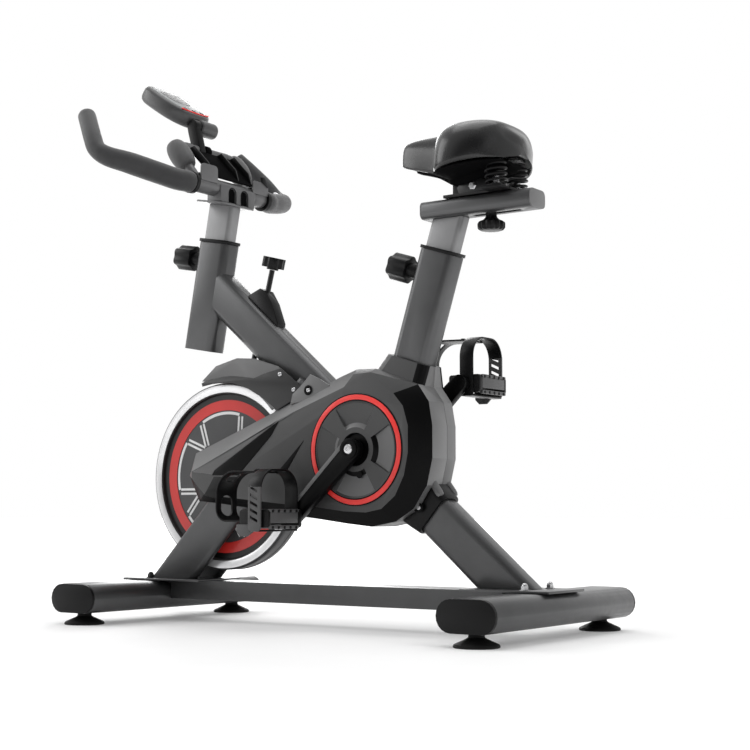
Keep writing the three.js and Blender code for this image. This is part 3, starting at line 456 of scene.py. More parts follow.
def bridged(rings, bm):
    """Quads between each ring of points and the next."""
    for first, second in zip(rings, rings[1:]):
        for i in range(len(first)):
            j = (i + 1) % len(first)
            bm.faces.new((first[i], first[j], second[j], second[i]))


def loft(name, sections):
    """A closed skin through sections with the same number of points, given in metres."""
    bm = bmesh.new()
    rings = [[bm.verts.new(point) for point in section] for section in sections]
    bridged(rings, bm)
    bm.faces.new(rings[0])
    bm.faces.new(rings[-1])
    return from_bmesh(name, bm)


def screw(name, location, direction, radius, body):
    """A button-head screw with a round socket."""
    head = [(0, -0.2), (radius * 0.45, -0.2), (radius * 0.5, radius * 0.42), (radius * 0.75, radius * 0.36),
            (radius, 0.1), (radius, -0.6), (0, -0.6)]
    fitting(lathe(name, head, location, direction, 24), body, "bright_steel")


def nut_and_bolt(name, x, y, z, look):
    """A domed nut on a washer, standing on a plate of the frame."""
    foot = Vector((x, y, z))
    radius = 6.5
    height = 6.8
    washer = [(0, 0), (radius * 1.35, 0), (radius * 1.35, 1.2), (0, 1.2)]
    fitting(lathe(name + "_washer", washer, foot, UP, 28), "frame", look)
    nut = lathe(name, [(0, 1.2), (radius, 1.2), (radius, 6.2), (radius * 0.86, 7)], foot, UP, 6)
    bm = bmesh.new()
    bm.from_mesh(nut.data)
    bmesh.ops.holes_fill(bm, edges=bm.edges)
    bm.to_mesh(nut.data)
    bm.free()
    fitting(nut, "frame", look, 20)
    bulge = [(radius * 0.8 * math.cos(math.radians(a)), height + radius * 0.75 * math.sin(math.radians(a)))
             for a in (0, 20, 40, 60, 78)]
    profile = [(radius * 0.8, 6.6), *bulge, (0, height + radius * 0.75)]
    fitting(lathe(name + "_dome", profile, foot, UP, 24), "frame", look)


# ------------------------------------------------------------------ belt guard

GUARD_FACE_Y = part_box("belt_guard_left")[0].y / MM
CRANK_AXIS = near(CRANK, 0, 0, 0)
# Shell faces with a painted highlight (1), and with black that is partly a real black trim and partly painted
# shade (2).
HIGHLIGHT_FACES = 1
BLACK_AND_SHADE_FACES = 2
# Where the guard's painted light and shade change over, in degrees or millimetres round the crank.
SHADE_BELOW = 52
HIGHLIGHT_BELOW = 48
RING_REACH = 118
NOSE_START = -300


def belt_guard():
    """The two shells, with painted light and shade: pale upper bevels, black lower and rear bevels, and raised
    plates on the left.
    """
    for node in ("belt_guard_left", "belt_guard_right"):
        shell = refined(node, 0.0015, angle=12)
        for name in ("guard_light", "guard_black"):
            shell.data.materials.append(MATERIALS[name])
        for polygon in shell.data.polygons:
            normal = polygon.normal
            slanted = 0.15 < abs(normal.y) < 0.985
            outer = abs(polygon.center.y) > 25 * MM
            spot = (polygon.center - CRANK_AXIS) / MM
            raised = math.degrees(math.atan2(spot.z, spot.x))
            below = normal.z < -0.2 or (normal.x > 0.08 and raised < SHADE_BELOW)
            nose = slanted and outer and normal.x < -0.1 and spot.x < NOSE_START
            top = outer and normal.z > 0.3 and normal.x < 0.08 and math.hypot(spot.x, spot.z) > RING_REACH
            rear = abs(normal.y) < 0.12 and normal.x > 0.3 and raised < HIGHLIGHT_BELOW
            # Painted light and shade: slanted outer bevels that face down, or face the rear low down, go black,
            # partly a real trim; faces turned up beyond the ring, the nose's bevels and the rear wall low down go
            # pale, as if lit.
            if slanted and outer and below:
                polygon.material_index = BLACK_AND_SHADE_FACES
            elif nose or top or rear:
                polygon.material_index = HIGHLIGHT_FACES
    # Raised plates that paint light and shade on the guard's facets: the black wedge and spear stand for facets in
    # shade, partly a real two-tone, and the pale brow for the lit band along the top bevel.
    plates = {"guard_wedge": ([(-322, -39.5), (-260, -40.5), (-186, 28), (-167, 55), (-316, -31)],
                              "guard_black", 2.2), "guard_spear": ([(-173, -39), (-153, -40),
                                                                    (-111, 19)], "guard_black", 1.6),
              "guard_brow": ([(-370, -33), (-322, -38), (-316, -30), (-166, 56.5), (-145, 64)],
                             "guard_light", 1.4), "guard_chin": ([(-318, -42), (-334, -66), (-342, -76),
                                                                  (-298, -84), (-290, -67),
                                                                  (-263, -43)], "black_plastic", 1.2),}
    for name, (outline, look, depth) in plates.items():
        plate = prism(name, outline, near(CRANK, 0, GUARD_FACE_Y - 0.2, 0), depth, edge=0.6)
        fitting(plate, "frame", look)
    ear = [(-150, 84), (-145, 102), (-125, 117), (-106, 135), (-83, 125), (-64, 114), (-70, 98)]
    fitting(prism("guard_ear", ear, near(CRANK, 0, -49.5, 0), 3.6, edge=0.8), "frame", "guard_light")
    for name, dx, y, dz in (("guard_screw_top", -109, -51.6, 107), ("guard_screw_low", 112, -36, -99)):
        cup = lathe(name + "_cup", [(8, 0), (9, 1.2), (6, 1.6), (5, 0), (0, 0)], near(CRANK, dx, y, dz),
                    LEFT, 28)
        fitting(cup, "frame", "guard_black")
        screw(name, near(CRANK, dx, y - 0.6, dz), LEFT, 4.2, "frame")


def guard_disc():
    """A round cover with four sunken fan sectors round a dark well, and thin seams by the red ring, with painted
    light and shade on its slopes and sector floors.
    """
    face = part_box("guard_disc")[0].y / MM
    half_sector = 29.5
    angles = []
    for k in range(4):
        middle = 90 * k
        angles.append((middle - half_sector - 1.2, False))
        angles += [(middle + half_sector * (i / 8 - 1), True) for i in range(17)]
        angles.append((middle + half_sector + 1.2, False))
        angles += [(middle + 45 - 6, False), (middle + 45 + 6, False)]
    raised = {27.5: 0.6, 29: -1.2, 83: -1.2, 84.4: 0.4}
    sunk = {38: -1.2, 46: 3.9, 48: 4.1, 80: 0.6}
    bm = bmesh.new()
    rings = []
    for radius in sorted([*raised, *sunk]):
        ring = []
        for angle, inside in angles:
            depth = sunk.get(radius, raised.get(radius)) if inside else raised.get(radius, -1.2)
            x, z = polar(radius, angle)
            ring.append(bm.verts.new(near(CRANK, x, face + depth, z)))
        rings.append(ring)
    bridged(rings, bm)
    disc = from_bmesh("guard_disc_fan", bm)
    modified(disc, "SOLIDIFY", thickness=0.0009, offset=-1)
    place(disc, "guard_disc", smooth_angle=12)
    for name in ("guard_light", "guard_black"):
        disc.data.materials.append(MATERIALS[name])
    # Painted light and shade: the well's sloping wall is pale on its upper left side and black on its lower right
    # side, and the sector floors on the lower right side are pale.
    for polygon in disc.data.polygons:
        spot = (polygon.center - CRANK_AXIS) / MM
        radius = math.hypot(spot.x, spot.z)
        turned = math.degrees(math.atan2(spot.z, spot.x))
        in_sector = abs((turned + 45) % 90 - 45) < half_sector
        if 38 < radius < 46 and abs(polygon.normal.y) < 0.93:
            polygon.material_index = HIGHLIGHT_FACES if spot.z > spot.x else BLACK_AND_SHADE_FACES
        elif 46 < radius < 80 and spot.x > spot.z and in_sector:
            polygon.material_index = HIGHLIGHT_FACES

    well = [(27.6, 0.4), (28.6, 1), (28.6, -3), (27, -5.4), (10, -5.4), (10, -4.6), (26.4, -4.6),
            (27.4, -3)]
    fitting(lathe("crank_well", well, near(CRANK, 0, face, 0), LEFT, 64, closed=True), "frame",
            "guard_black")
    fixing = [(0, 0.2), (5.6, 0.2), (6.2, -0.6), (6.2, -2), (0, -2)]
    fitting(lathe("guard_disc_screw", fixing, near(CRANK, 9, face - 1.4, -43), LEFT, 24), "frame",
            "guard_black")
    for name, radius, y in (("guard_ring_seam", 95.2, GUARD_FACE_Y - 0.2),
                            ("guard_ring_lip", 84.8, face - 0.3)):
        seam = [(radius - 0.8, -1), (radius + 0.8, -1), (radius + 0.7, 0.9), (radius - 0.7, 0.9)]
        fitting(lathe(name, seam, near(CRANK, 0, y, 0), LEFT, 96, closed=True), "frame", "guard_black")


# ------------------------------------------------------------------ flywheel

RIM_STEPS = 160
FIRST_SPOKE = 133.5


def flywheel():
    """A bright machined rim, a black step and a sunken painted face, the same on both sides."""
    low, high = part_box("flywheel")
    radius = (high.x - low.x) / 2 / MM
    half = (high.y - low.y) / 2 / MM
    step = radius - 17
    sunk = half - 8
    tyre = [(radius - 3, -half + 0.2), (radius - 1, -half + 1.2), (radius, -half + 3)]
    tyre += [(radius, -half * 0.4), (radius - 0.6, -half * 0.38), (radius - 0.6, half * 0.38),
             (radius, half * 0.4)]
    tyre += [(radius, half - 3), (radius - 1, half - 1.2), (radius - 3, half - 0.2)]
    body = lathe("flywheel_tyre", tyre + [(step - 2, half - 2), (step - 2, -half + 2)], FLYWHEEL,
                 ACROSS, RIM_STEPS, closed=True)
    place(body, "flywheel", "flywheel_grey")
    for side, sign in SIDES:
        out = Vector((0, sign, 0))
        rim = [(radius - 2.6, half - 1), (radius - 3.2, half), (step + 1, half), (step, half - 0.6),
               (step, half - 3), (radius - 2.6, half - 3)]
        fitting(lathe(f"flywheel_rim_{side}", rim, FLYWHEEL, out, RIM_STEPS, closed=True),
                "flywheel_set", "flywheel_iron")
        wall = [(step + 0.4, half - 0.9), (step - 1.2, half - 1.2), (step - 4, sunk + 0.8),
                (141.4, sunk + 0.4), (141.4, sunk - 3), (step + 0.4, sunk - 3)]
        fitting(lathe(f"flywheel_step_{side}", wall, FLYWHEEL, out, RIM_STEPS, closed=True),
                "flywheel_set", "flywheel_black")
        band = [(141.6, sunk + 0.9), (122.4, sunk + 0.9), (122.4, sunk - 2), (141.6, sunk - 2)]
        fitting(lathe(f"flywheel_band_{side}", band, FLYWHEEL, out, RIM_STEPS, closed=True),
                "flywheel_set", "flywheel_red")
        face = [(0, sunk + 0.6), (30, sunk + 0.6), (34, sunk), (122.6, sunk), (122.6, sunk - 3),
                (0, sunk - 3)]
        fitting(lathe(f"flywheel_face_{side}", face, FLYWHEEL, out, 128), "flywheel_set", "flywheel_grey")
        flywheel_lines(side, sign, sunk)
    refined("flywheel_axle", 0.0005)
    refined("flywheel_pulley", 0.0005)


def flywheel_lines(side, sign, sunk):
    """Thin white lines: five V shapes on the face, with arcs between their wide ends."""
    bm = bmesh.new()
    y = sign * (sunk + 0.3)

    def quad(points):
        near_face = [bm.verts.new(near(FLYWHEEL, u, y, v)) for u, v in points]
        inside = [bm.verts.new(near(FLYWHEEL, u, y - sign * 1.0, v)) for u, v in points]
        bm.faces.new(near_face)
        bm.faces.new(inside[::-1])
        for i in range(4):
            j = (i + 1) % 4
            bm.faces.new((near_face[i], near_face[j], inside[j], inside[i]))

    for k in range(5):
        middle = FIRST_SPOKE + 72 * k
        for lean in (-1, 1):
            for shift in (-4, 4):
                outer = Vector(polar(115, middle + lean * 11.5))
                inner = Vector(polar(74, middle + lean * 3.5))
                side_step = (outer - inner).orthogonal().normalized()
                outer += side_step * shift
                inner += side_step * shift
                across = side_step * 2.1
                quad([tuple(outer + across), tuple(outer - across), tuple(inner - across),
                      tuple(inner + across)])
        start = middle + 13.5
        end = middle + 72 - 13.5
        for i in range(12):
            a = start + (end - start) * i / 12
            b = start + (end - start) * (i + 1) / 12
            quad([polar(120, a), polar(120, b), polar(114.8, b), polar(114.8, a)])
    fitting(from_bmesh(f"flywheel_lines_{side}", bm), "flywheel_set", "flywheel_white", 20)


# ------------------------------------------------------------------ saddle

# Saddle sections in millimetres: how far behind the nose, half width, bottom and top.
SADDLE_SECTIONS = [(2, 6, 44, 68), (3, 16, 41, 75), (6, 25, 37, 80.5), (13, 31, 32, 84.5),
                   (30, 36, 25, 87), (55, 40, 18, 87.5), (80, 44, 9, 87), (90, 47, 5, 85.5),
                   (95, 53, 3, 83.5), (100, 66, 1, 84.5), (108, 85, -2, 88), (120, 100, -3, 90.5),
                   (136, 108.5, -2, 92), (156, 111, 1, 92), (175, 107.5, 4, 91), (192, 99, 7, 88.5),
                   (207, 85, 9.5, 85), (220, 65, 12, 79), (230, 44, 15, 71), (236.5, 21, 20, 62),
                   (238, 7, 28, 54),]


def saddle_skin(low):
    """The skin: sections from nose to tail, with a crease behind the nose and a hollow underside."""
    sections = []
    for x, half, bottom, top in through([Vector(section) for section in SADDLE_SECTIONS], 2):
        height = top - bottom
        hollow = min(15, half * 0.16) * min(1, height / 40)
        points = []
        for i in range(33):
            angle = math.pi * i / 32
            side = math.copysign(abs(math.cos(angle)) ** 0.62, math.cos(angle))
            points.append((half * side, bottom + height * math.sin(angle) ** 0.68))
        for i in range(1, 16):
            share = 1 - 2 * i / 16
            points.append((-half * share * 0.97, bottom + hollow * (1 - abs(share) ** 4)))
        sections.append([Vector((low.x + x * MM, y * MM, low.z + z * MM)) for y, z in points])
    return loft("saddle_leather_cushion", sections)


CLOTH_FRAMES = 20
SPRING_TURNS = 5


def stuffed(obj, shrink, limit):
    """The skin drawn in a little, then blown up by cloth pressure, with no point moving far."""
    bm = bmesh.new()
    bm.from_mesh(obj.data)
    bmesh.ops.recalc_face_normals(bm, faces=bm.faces)
    bm.normal_update()
    inward = {vert: vert.normal * shrink for vert in bm.verts}
    for vert, move in inward.items():
        vert.co -= move
    bm.to_mesh(obj.data)
    bm.free()
    scene = bpy.context.scene
    rest = [vert.co.copy() for vert in obj.data.vertices]
    cloth = obj.modifiers.new("swell", "CLOTH")
    cloth.settings.use_pressure = True
    cloth.settings.uniform_pressure_force = 4
    cloth.settings.effector_weights.gravity = 0
    cloth.settings.quality = 6
    cloth.settings.tension_stiffness = 25
    cloth.settings.compression_stiffness = 25
    cloth.settings.bending_stiffness = 2
    cloth.point_cache.frame_start = 1
    cloth.point_cache.frame_end = CLOTH_FRAMES
    for number in range(1, CLOTH_FRAMES + 1):
        scene.frame_set(number)
    depsgraph = bpy.context.evaluated_depsgraph_get()
    ends = [vert.co.copy() for vert in obj.evaluated_get(depsgraph).data.vertices]
    obj.modifiers.clear()
    scene.frame_set(1)
    for vert, start, end in zip(obj.data.vertices, rest, ends):
        move = end - start
        if move.length > limit:
            move *= limit / move.length
        vert.co = start + move
    modified(obj, "SMOOTH", factor=0.5, iterations=2)
    return modified(obj, "SUBSURF", levels=2)


def saddle():
    """A swollen leather cushion with a hollow underside, on a black pan, two coil springs and a clamp."""
    low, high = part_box("saddle_cushion")
    cushion = stuffed(saddle_skin(low), 0.0016, 0.0035)
    place(cushion, "saddle_cushion", smooth_angle=70)

    saddle_pan(low)
    refined("saddle_carriage", look="black_plastic")
    clamp_at = Vector((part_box("saddle_carriage")[0].x + 0.056, 0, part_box("saddle_slider")[1].z + 0.0155))
    for side, sign in SIDES:
        head = [(0, 0), (7.5, 0), (7.5, 4), (6.5, 5), (5, 5), (5, 8), (0, 8)]
        fitting(lathe(f"clamp_nut_{side}", head, clamp_at + Vector((0, sign * 0.0172, 0)), (0, sign, 0),
                      6), "saddle", "bright_steel", 20)
        cheek = [(-26, -13), (24, -13), (31, -4), (26, 8), (8, 14), (-20, 12), (-30, 0)]
        fitting(prism(f"clamp_cheek_{side}", cheek, clamp_at + Vector((0, sign * 0.0195, 0)), 3),
                "saddle", "black_steel")
    spring_x = high.x - 0.036
    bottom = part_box("saddle_slider")[1].z + 0.0075
    top = low.z + 0.024
    for side, sign in SIDES:
        points = []
        for i in range(SPRING_TURNS * 20 + 1):
            angle = 2 * math.pi * i / 20
            share = i / (SPRING_TURNS * 20)
            wide = 0.0145 + 0.0025 * math.sin(math.pi * share)
            points.append((spring_x + wide * math.cos(angle), sign * 0.035 + wide * math.sin(angle),
                           bottom + (top - bottom) * share))
        fitting(tube(f"saddle_spring_{side}", points, 0.0022), "saddle", "black_plastic")
        cap = [(0, 0), (17, 0), (17, 2), (9, 2.4), (8.5, 6), (0, 6)]
        fitting(lathe(f"spring_seat_{side}", cap, Vector((spring_x, sign * 0.035, bottom - 0.003)), UP,
                      32), "saddle", "black_steel")
        bolt = [(0, 0), (6, 0), (6, 10), (5, 12), (0, 12)]
        fitting(lathe(f"spring_bolt_{side}", bolt, Vector((spring_x, sign * 0.035, bottom + 0.0035)),
                      UP, 24), "saddle", "bright_steel")


def saddle_pan(low):
    """The black pan: a tray tucked up inside the cushion's skirt, with a spine down to the clamp. Its dead matt
    black is partly the pan's own colour and partly painted shade under the cushion.
    """
    sections = []
    for along, half, bottom, _ in through([Vector(section) for section in SADDLE_SECTIONS[4:-3]], 2):
        x = low.x + along * MM
        z = low.z + bottom * MM
        spine = 0.0065 * max(0, 1 - ((along - 136) / 62) ** 2)
        edge = 0.93 - 0.14 * min(1, max(0, (along - 150) / 60))
        upper = [(-edge, 0.006), (edge, 0.006)]
        lower = [(edge, 0.003), (0.3, 0.003), (0.24, -spine), (-0.24, -spine), (-0.3, 0.003),
                 (-edge, 0.003)]
        sections.append([Vector((x, share * half * MM, z + lift)) for share, lift in upper + lower])
    pan = loft("saddle_pan", sections)
    with_bevel(pan, 0.0008, 30)
    place(pan, "saddle_base", "shade_black")


# ------------------------------------------------------------------ handlebar and console

BAR_RADIUS = 12.5
BAR_AXIS = Vector((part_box("handlebar")[1].x - BAR_RADIUS * MM, 0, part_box("handlebar")[0].z
                   + BAR_RADIUS * MM))
INNER_AXIS = near(BAR_AXIS, -59.5, 0, 81)
CONSOLE_HINGE = near(BAR_AXIS, -71.5, 0, 130)
CONSOLE_SLOPE = math.radians(34)


def through(points, steps):
    """A smooth path through points, with the same number of steps in each stretch."""
    ends = [points[0] * 2 - points[1], *points, points[-1] * 2 - points[-2]]
    path = []
    for a, b, c, d in zip(ends, ends[1:], ends[2:], ends[3:]):
        for i in range(steps):
            t = i / steps
            path.append(0.5 * (2 * b + (c - a) * t + (2 * a - 5 * b + 4 * c - d) * t * t
                               + (3 * b - a - 3 * c + d) * t ** 3))
    return [*path, points[-1]]


def sleeve(name, path, radii, sides=40):
    """A soft tube along a path in metres, with a radius in millimetres for each point and round ends."""
    rounding = ((3.5, 0.62), (3.2, 0.78), (2.0, 0.93), (0.6, 0.99))
    first = (path[0] - path[1]).normalized()
    last = (path[-1] - path[-2]).normalized()
    rings = [(path[0] + first * (out * MM), -first, radii[0] * share) for out, share in rounding]
    for i in range(1, len(path) - 1):
        rings.append((path[i], (path[i + 1] - path[i - 1]).normalized(), radii[i]))
    rings += [(path[-1] + last * (out * MM), last, radii[-1] * share) for out, share in reversed(rounding)]
    sections = []
    for middle, along, radius in rings:
        across = along.cross(UP).normalized()
        upward = across.cross(along)
        turn = [2 * math.pi * i / sides for i in range(sides)]
        sections.append([middle + (across * math.cos(a) + upward * math.sin(a)) * (radius * MM)
                         for a in turn])
    return loft(name, sections)


def grips():
    """Foam grips, fatter along the bar than on the horns, each with a collar and two small sensor studs."""
    half = [(0, 108, -3.5), (-1, 118, -3), (-9, 136, -1.5), (-22, 174, 5.5), (-45, 221, 17), (-71, 248, 27),
            (-92, 254, 42), (-111, 246, 66), (-136, 230, 95), (-159, 214.5, 120)]
    for side, sign in SIDES:
        path = through([near(BAR_AXIS, x, sign * y, z) for x, y, z in half], 6)
        shares = [i / (len(path) - 1) for i in range(len(path))]
        radii = [16.6 + 3.2 * (1 - min(1, max(0, (share - 0.42) / 0.22))) for share in shares]
        grip = sleeve(f"foam_grip_{side}", path, radii)
        place(grip, f"grip_{side}", smooth_angle=50)
        ring = [(13, -4), (20, -4), (20.6, -3.4), (20.6, 3.4), (20, 4), (13, 4)]
        fitting(lathe(f"grip_collar_{side}", ring, near(BAR_AXIS, 0, sign * 103, -3.2), segments=48,
                      closed=True), "handlebar_set", "black_plastic")
        for k, (x, y, z) in enumerate(((-66, 229, 38), (-31, 183, 24))):
            stud = [(0, 0), (9 - 2 * k, 0), (8 - 2 * k, 2.4), (5.5 - 2 * k, 3.6), (0, 4)]
            fitting(lathe(f"grip_stud_{side}_{k}", stud, near(BAR_AXIS, x, sign * y, z),
                          (0.55, 0, 0.83), 24), "handlebar_set",
                    "bright_steel" if k == 0 else "black_plastic")


POCKETS = (-27, 8)


def bar_clamp():
    """The cast clamp: a sleeve round the bar, a block with two arched pockets, and the plate under it. A dead
    black sheet in each pocket paints the shade inside the arches.
    """
    body = "handlebar_set"
    axis = near(BAR_AXIS, 0, 0, -2)
    profile = [(12.7, -98), (15.6, -98), (16.2, -97), (16.2, 63), (15.6, 64), (15.6, 66), (16.2, 67),
               (16.2, 97), (15.6, 98), (12.7, 98)]
    cast = lathe("clamp_sleeve", profile, axis, segments=56, closed=True)
    place(cast, "handlebar_clamp", "clamp_paint")
    low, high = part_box("handlebar_clamp")
    foot = (low.z - axis.z) / MM + 7
    outline = rounded(98, 5 - foot, 3, cx=-8, cz=(5 + foot) / 2)
    arches = []
    for middle in POCKETS:
        arches.append([(middle - 8.5, foot + 1), (middle + 8.5, foot + 1),
                       *arc(middle, -8, 8.5, 0, 180, 10)])
    block = prism("clamp_block", [(-y, z) for y, z in outline], near(axis, 1.5, 0, 0), 34, "X",
                  [[(-y, z) for y, z in arch] for arch in arches], 1.0)
    fitting(block, body, "clamp_paint")
    # Painted shade: a matt black sheet behind each arch, where there is only shadow.
    for k, middle in enumerate(POCKETS):
        wall = rounded(16.6, 2.5 - foot, 2, cx=-middle, cz=foot / 2)
        fitting(prism(f"clamp_pocket_shadow_{k}", wall, near(axis, 6, 0, 0), 21, "X"), body, "shade_black")
        rim = [(-y, z) for y, z in [(middle - 10, foot), *reversed(arc(middle, -8, 10, 0, 180, 10)),
                                    (middle + 10, foot)]]
        points = [near(axis, 18.4, y, z) for y, z in rim]
        fitting(tube(f"clamp_rim_{k}", points, 0.0009, 3), body, "shade_black")
    lean = Matrix.Rotation(math.radians(10.3), 4, "Y")
    plate_at = Vector(((low.x + high.x) / 2, 0, low.z + 0.0085))
    fitting(prism("clamp_plate", rounded(72, 92, 8), plate_at, 3.5, "Z", turn=lean), body, "clamp_paint")


def inner_bar():
    """The forearm bar: a bent tube with a foam rest at each bend."""
    half = [(1, 30, 0), (4, 58, -1), (7, 74, -6), (15, 82, -22), (31, 82, -44), (51.3, 80, -70)]
    right = [near(INNER_AXIS, x, y, z) for x, y, z in half]
    left = [near(INNER_AXIS, x, -y, z) for x, y, z in reversed(half)]
    path = through([*left, near(INNER_AXIS, 0, 0, 0), *right], 6)
    pipe = sleeve("inner_bar_tube", path, [8.6] * len(path), 24)
    place(pipe, "inner_bar", "clamp_paint", 50)
    along = Vector((0.62, 0, -0.785))
    for side, sign in SIDES:
        middle = near(INNER_AXIS, 14, sign * 82, -24)
        steps = 16
        points = [middle + along * (MM * (-27 + 54 * i / steps)) for i in range(steps + 1)]
        radii = [9 + 12.5 * math.sin(math.pi * (0.06 + 0.88 * i / steps)) ** 0.32 for i in range(steps + 1)]
        rest = sleeve(f"forearm_rest_{side}", points, radii)
        fitting(rest, "handlebar_set", "pad_foam", 60)


def tablet_holder():
    """A black ribbed tray leaning on the inner bar, and two pale clips that stop a tablet."""
    body = "handlebar_set"
    low = near(BAR_AXIS, 12, 0, 15)
    high = near(BAR_AXIS, -46, 0, 75)
    along = (high - low).normalized()
    facing = Vector((along.z, 0, -along.x))
    turn = Matrix((along, facing.cross(along), facing)).transposed().to_4x4()
    length = (high - low).length / MM
    origin = (low + high) / 2
    tray = prism("tablet_tray", rounded(length, 121, 7), origin, 3.4, "Z", turn=turn, edge=0.8)
    place(tray, "tablet_holder", "shade_black")
    for k, y in enumerate((-58, 20, 58)):
        wall = [(-length / 2 + 4, 0), (length / 2, 0), (length / 2 - 6, 11), (-length / 2 + 26, 11)]
        sidewall = prism(f"tray_wall_{k}", wall, origin + Vector((0, y * MM, 0)) + facing * 0.001, 3.2, "Y",
                         turn=Matrix((along, ACROSS, facing)).transposed().to_4x4())
        fitting(sidewall, body, "black_plastic")
    for k, (y, rise) in enumerate(((-71.5, 34), (77, 27))):
        outline = [*arc(15, rise - 8, 8, 0, 90, 5), *arc(-15, rise - 8, 8, 90, 180, 5), (-23, 2), (23, 2)]
        lip = prism(f"tablet_clip_{k}", outline, near(BAR_AXIS, 15.5, y, 0), 3.2, "X")
        fitting(lip, body, "clamp_paint")
        ledge = prism(f"tablet_ledge_{k}", rounded(46, 14, 3), near(BAR_AXIS, 9, y, 14.5), 3, "Z",
                      turn=Matrix.Rotation(math.pi / 2, 4, "Z"))
        fitting(ledge, body, "clamp_paint")
    hook = [(-7, -3), (9, -11), (11, -8), (-1, 8), (-8, 7)]
    fitting(prism("tablet_hook", hook, near(BAR_AXIS, 16, 88, 30), 5, "X"), body, "black_plastic")


def console():
    """A thick rounded console with a pale screen and a thin red arc, on a barrel hinge and a short neck."""
    forward = Vector((-math.cos(CONSOLE_SLOPE), 0, math.sin(CONSOLE_SLOPE)))
    outward = Vector((math.sin(CONSOLE_SLOPE), 0, math.cos(CONSOLE_SLOPE)))

    def on_face(u, w, level):
        return CONSOLE_HINGE + (forward * u + LEFT * w + outward * level) * MM

    def plan(inset):
        points = []
        for i in range(64):
            angle = 2 * math.pi * i / 64
            c, s = math.cos(angle), math.sin(angle)
            u = 80 + (68 - inset) * math.copysign(abs(c) ** 0.62, c)
            w = (57 - inset) * math.copysign(abs(s) ** 0.7, s)
            points.append((u, w * (1 - 0.16 * max(0, (80 - u) / 68) ** 2)))
        return points

    levels = ((-12, 12), (-11, 6), (-8, 2.2), (-3, 0.3), (3, 0), (12, 0.4), (17, 2.2), (19.5, 5), (20, 8))
    housing = loft("console_housing", [[on_face(u, w, level) for u, w in plan(inset)]
                                       for level, inset in levels])
    place(housing, "console", smooth_angle=45)
    body = "console_unit"
    screen = loft("console_screen", [[on_face(u, w, level) for u, w in plan(inset)]
                                     for level, inset in ((19.6, 11), (20.6, 11.4), (20.9, 13))])
    fitting(screen, body, "console_glass", 45)
    window = loft("console_window", [[on_face(92 + (u - 80) * 0.5, w * 0.62, level) for u, w in plan(inset)]
                                     for level, inset in ((20.2, 10), (21.3, 10), (21.4, 12))])
    fitting(window, body, "console_plastic", 45)
    line = [on_face(38 - 16 * math.cos(math.radians(a)), 44 * math.sin(math.radians(a)), 21)
            for a in range(-60, 61, 6)]
    fitting(tube("console_arc", line, 0.0013, 3), body, "red_plastic")
    for k, w in enumerate((-22, 0, 22)):
        button = [(0, 0), (5, 0), (4.6, 1.2), (0, 1.4)]
        fitting(lathe(f"console_button_{k}", button, on_face(34, w, 20.6), outward, 24), body,
                "black_plastic")
    barrel = [(0, 0), (13, 0), (15.6, 2), (16, 5), (16, 38), (15.2, 42), (12, 44), (0, 44)]
    fitting(lathe("console_barrel", barrel, near(CONSOLE_HINGE, 0, -7, 0), ACROSS, 48), body,
            "console_plastic")
    bx = (INNER_AXIS.x - CONSOLE_HINGE.x) / MM
    bz = (INNER_AXIS.z - CONSOLE_HINGE.z) / MM
    neck = [*arc(0, 0, 13, -30, 170, 12), (-9, -14), *arc(bx, bz, 11.5, 170, 350, 12)]
    arm = prism("console_neck", neck, near(CONSOLE_HINGE, 0, -16, 0), 17, edge=1.5)
    place(arm, "console_bracket")
    band = [(8.8, -7), (11.8, -7), (12.4, -6), (12.4, 6), (11.8, 7), (8.8, 7)]
    fitting(lathe("neck_band", band, near(INNER_AXIS, 0, 1, 0), segments=32, closed=True),
            "handlebar_set", "shade_black")


# ------------------------------------------------------------------ everything else with extra detail

def slide_knob():
    """The ribbed knob under the slider: a waisted neck on a wide dish with fourteen ribs."""
    low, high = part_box("slide_knob")
    top = Vector(((low.x + high.x) / 2, 0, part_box("saddle_slider")[0].z - 0.0004))
    ribs = 14
    sections = []
    for level, radius, depth in ((0, 9.5, 0), (-3, 9.2, 0), (-7, 10.5, 0.2), (-11, 15, 0.8), (-13, 20, 1.3),
                                 (-14.5, 22.6, 1.5), (-17, 23.4, 1.6), (-24, 23.2, 1.6), (-26.5, 21.5, 1.2),
                                 (-28, 18, 0.5)):
        ring = []
        for i in range(ribs * 8):
            angle = 2 * math.pi * i / (ribs * 8)
            r = (radius - depth + depth * math.cos(ribs * angle)) * MM
            ring.append(top + Vector((r * math.cos(angle), r * math.sin(angle), level * MM)))
        sections.append(ring)
    knob = loft("ribbed_slide_knob", sections)
    place(knob, "slide_knob", smooth_angle=40)


def crank_and_pedals():
    """Black arms with a pale strip along one edge that paints the highlight of a chamfer, a bright bolt, and the
    pedals at their ends.
    """
    for side, sign in SIDES:
        refined(f"crank_arm_{side}", 0.0012, "guard_black")
        end_y = sign * 80
        # Painted highlight: a pale strip where the arm's chamfer would catch the light.
        highlight_strip = [(-16, 10.5), (-132, -101.5), (-127.5, -106.2), (-11.5, 5.8)]
        highlight_strip = [(-sign * x, -sign * z) for x, z in highlight_strip]
        edge = prism(f"crank_highlight_strip_{side}", highlight_strip, near(CRANK, 0, end_y + sign * 0.2, 0), 1.4, edge=0.5)
        fitting(edge, "crank", "guard_light")
        bolt = [(0, 4.4), (3.2, 4.4), (3.6, 5.4), (7.2, 5), (8.4, 3.8), (8.6, 0), (0, 0)]
        fitting(lathe(f"crank_bolt_{side}", bolt, near(CRANK, 0, end_y, 0), (0, sign, 0), 32), "crank",
                "bright_steel")
        pedal(side, sign)


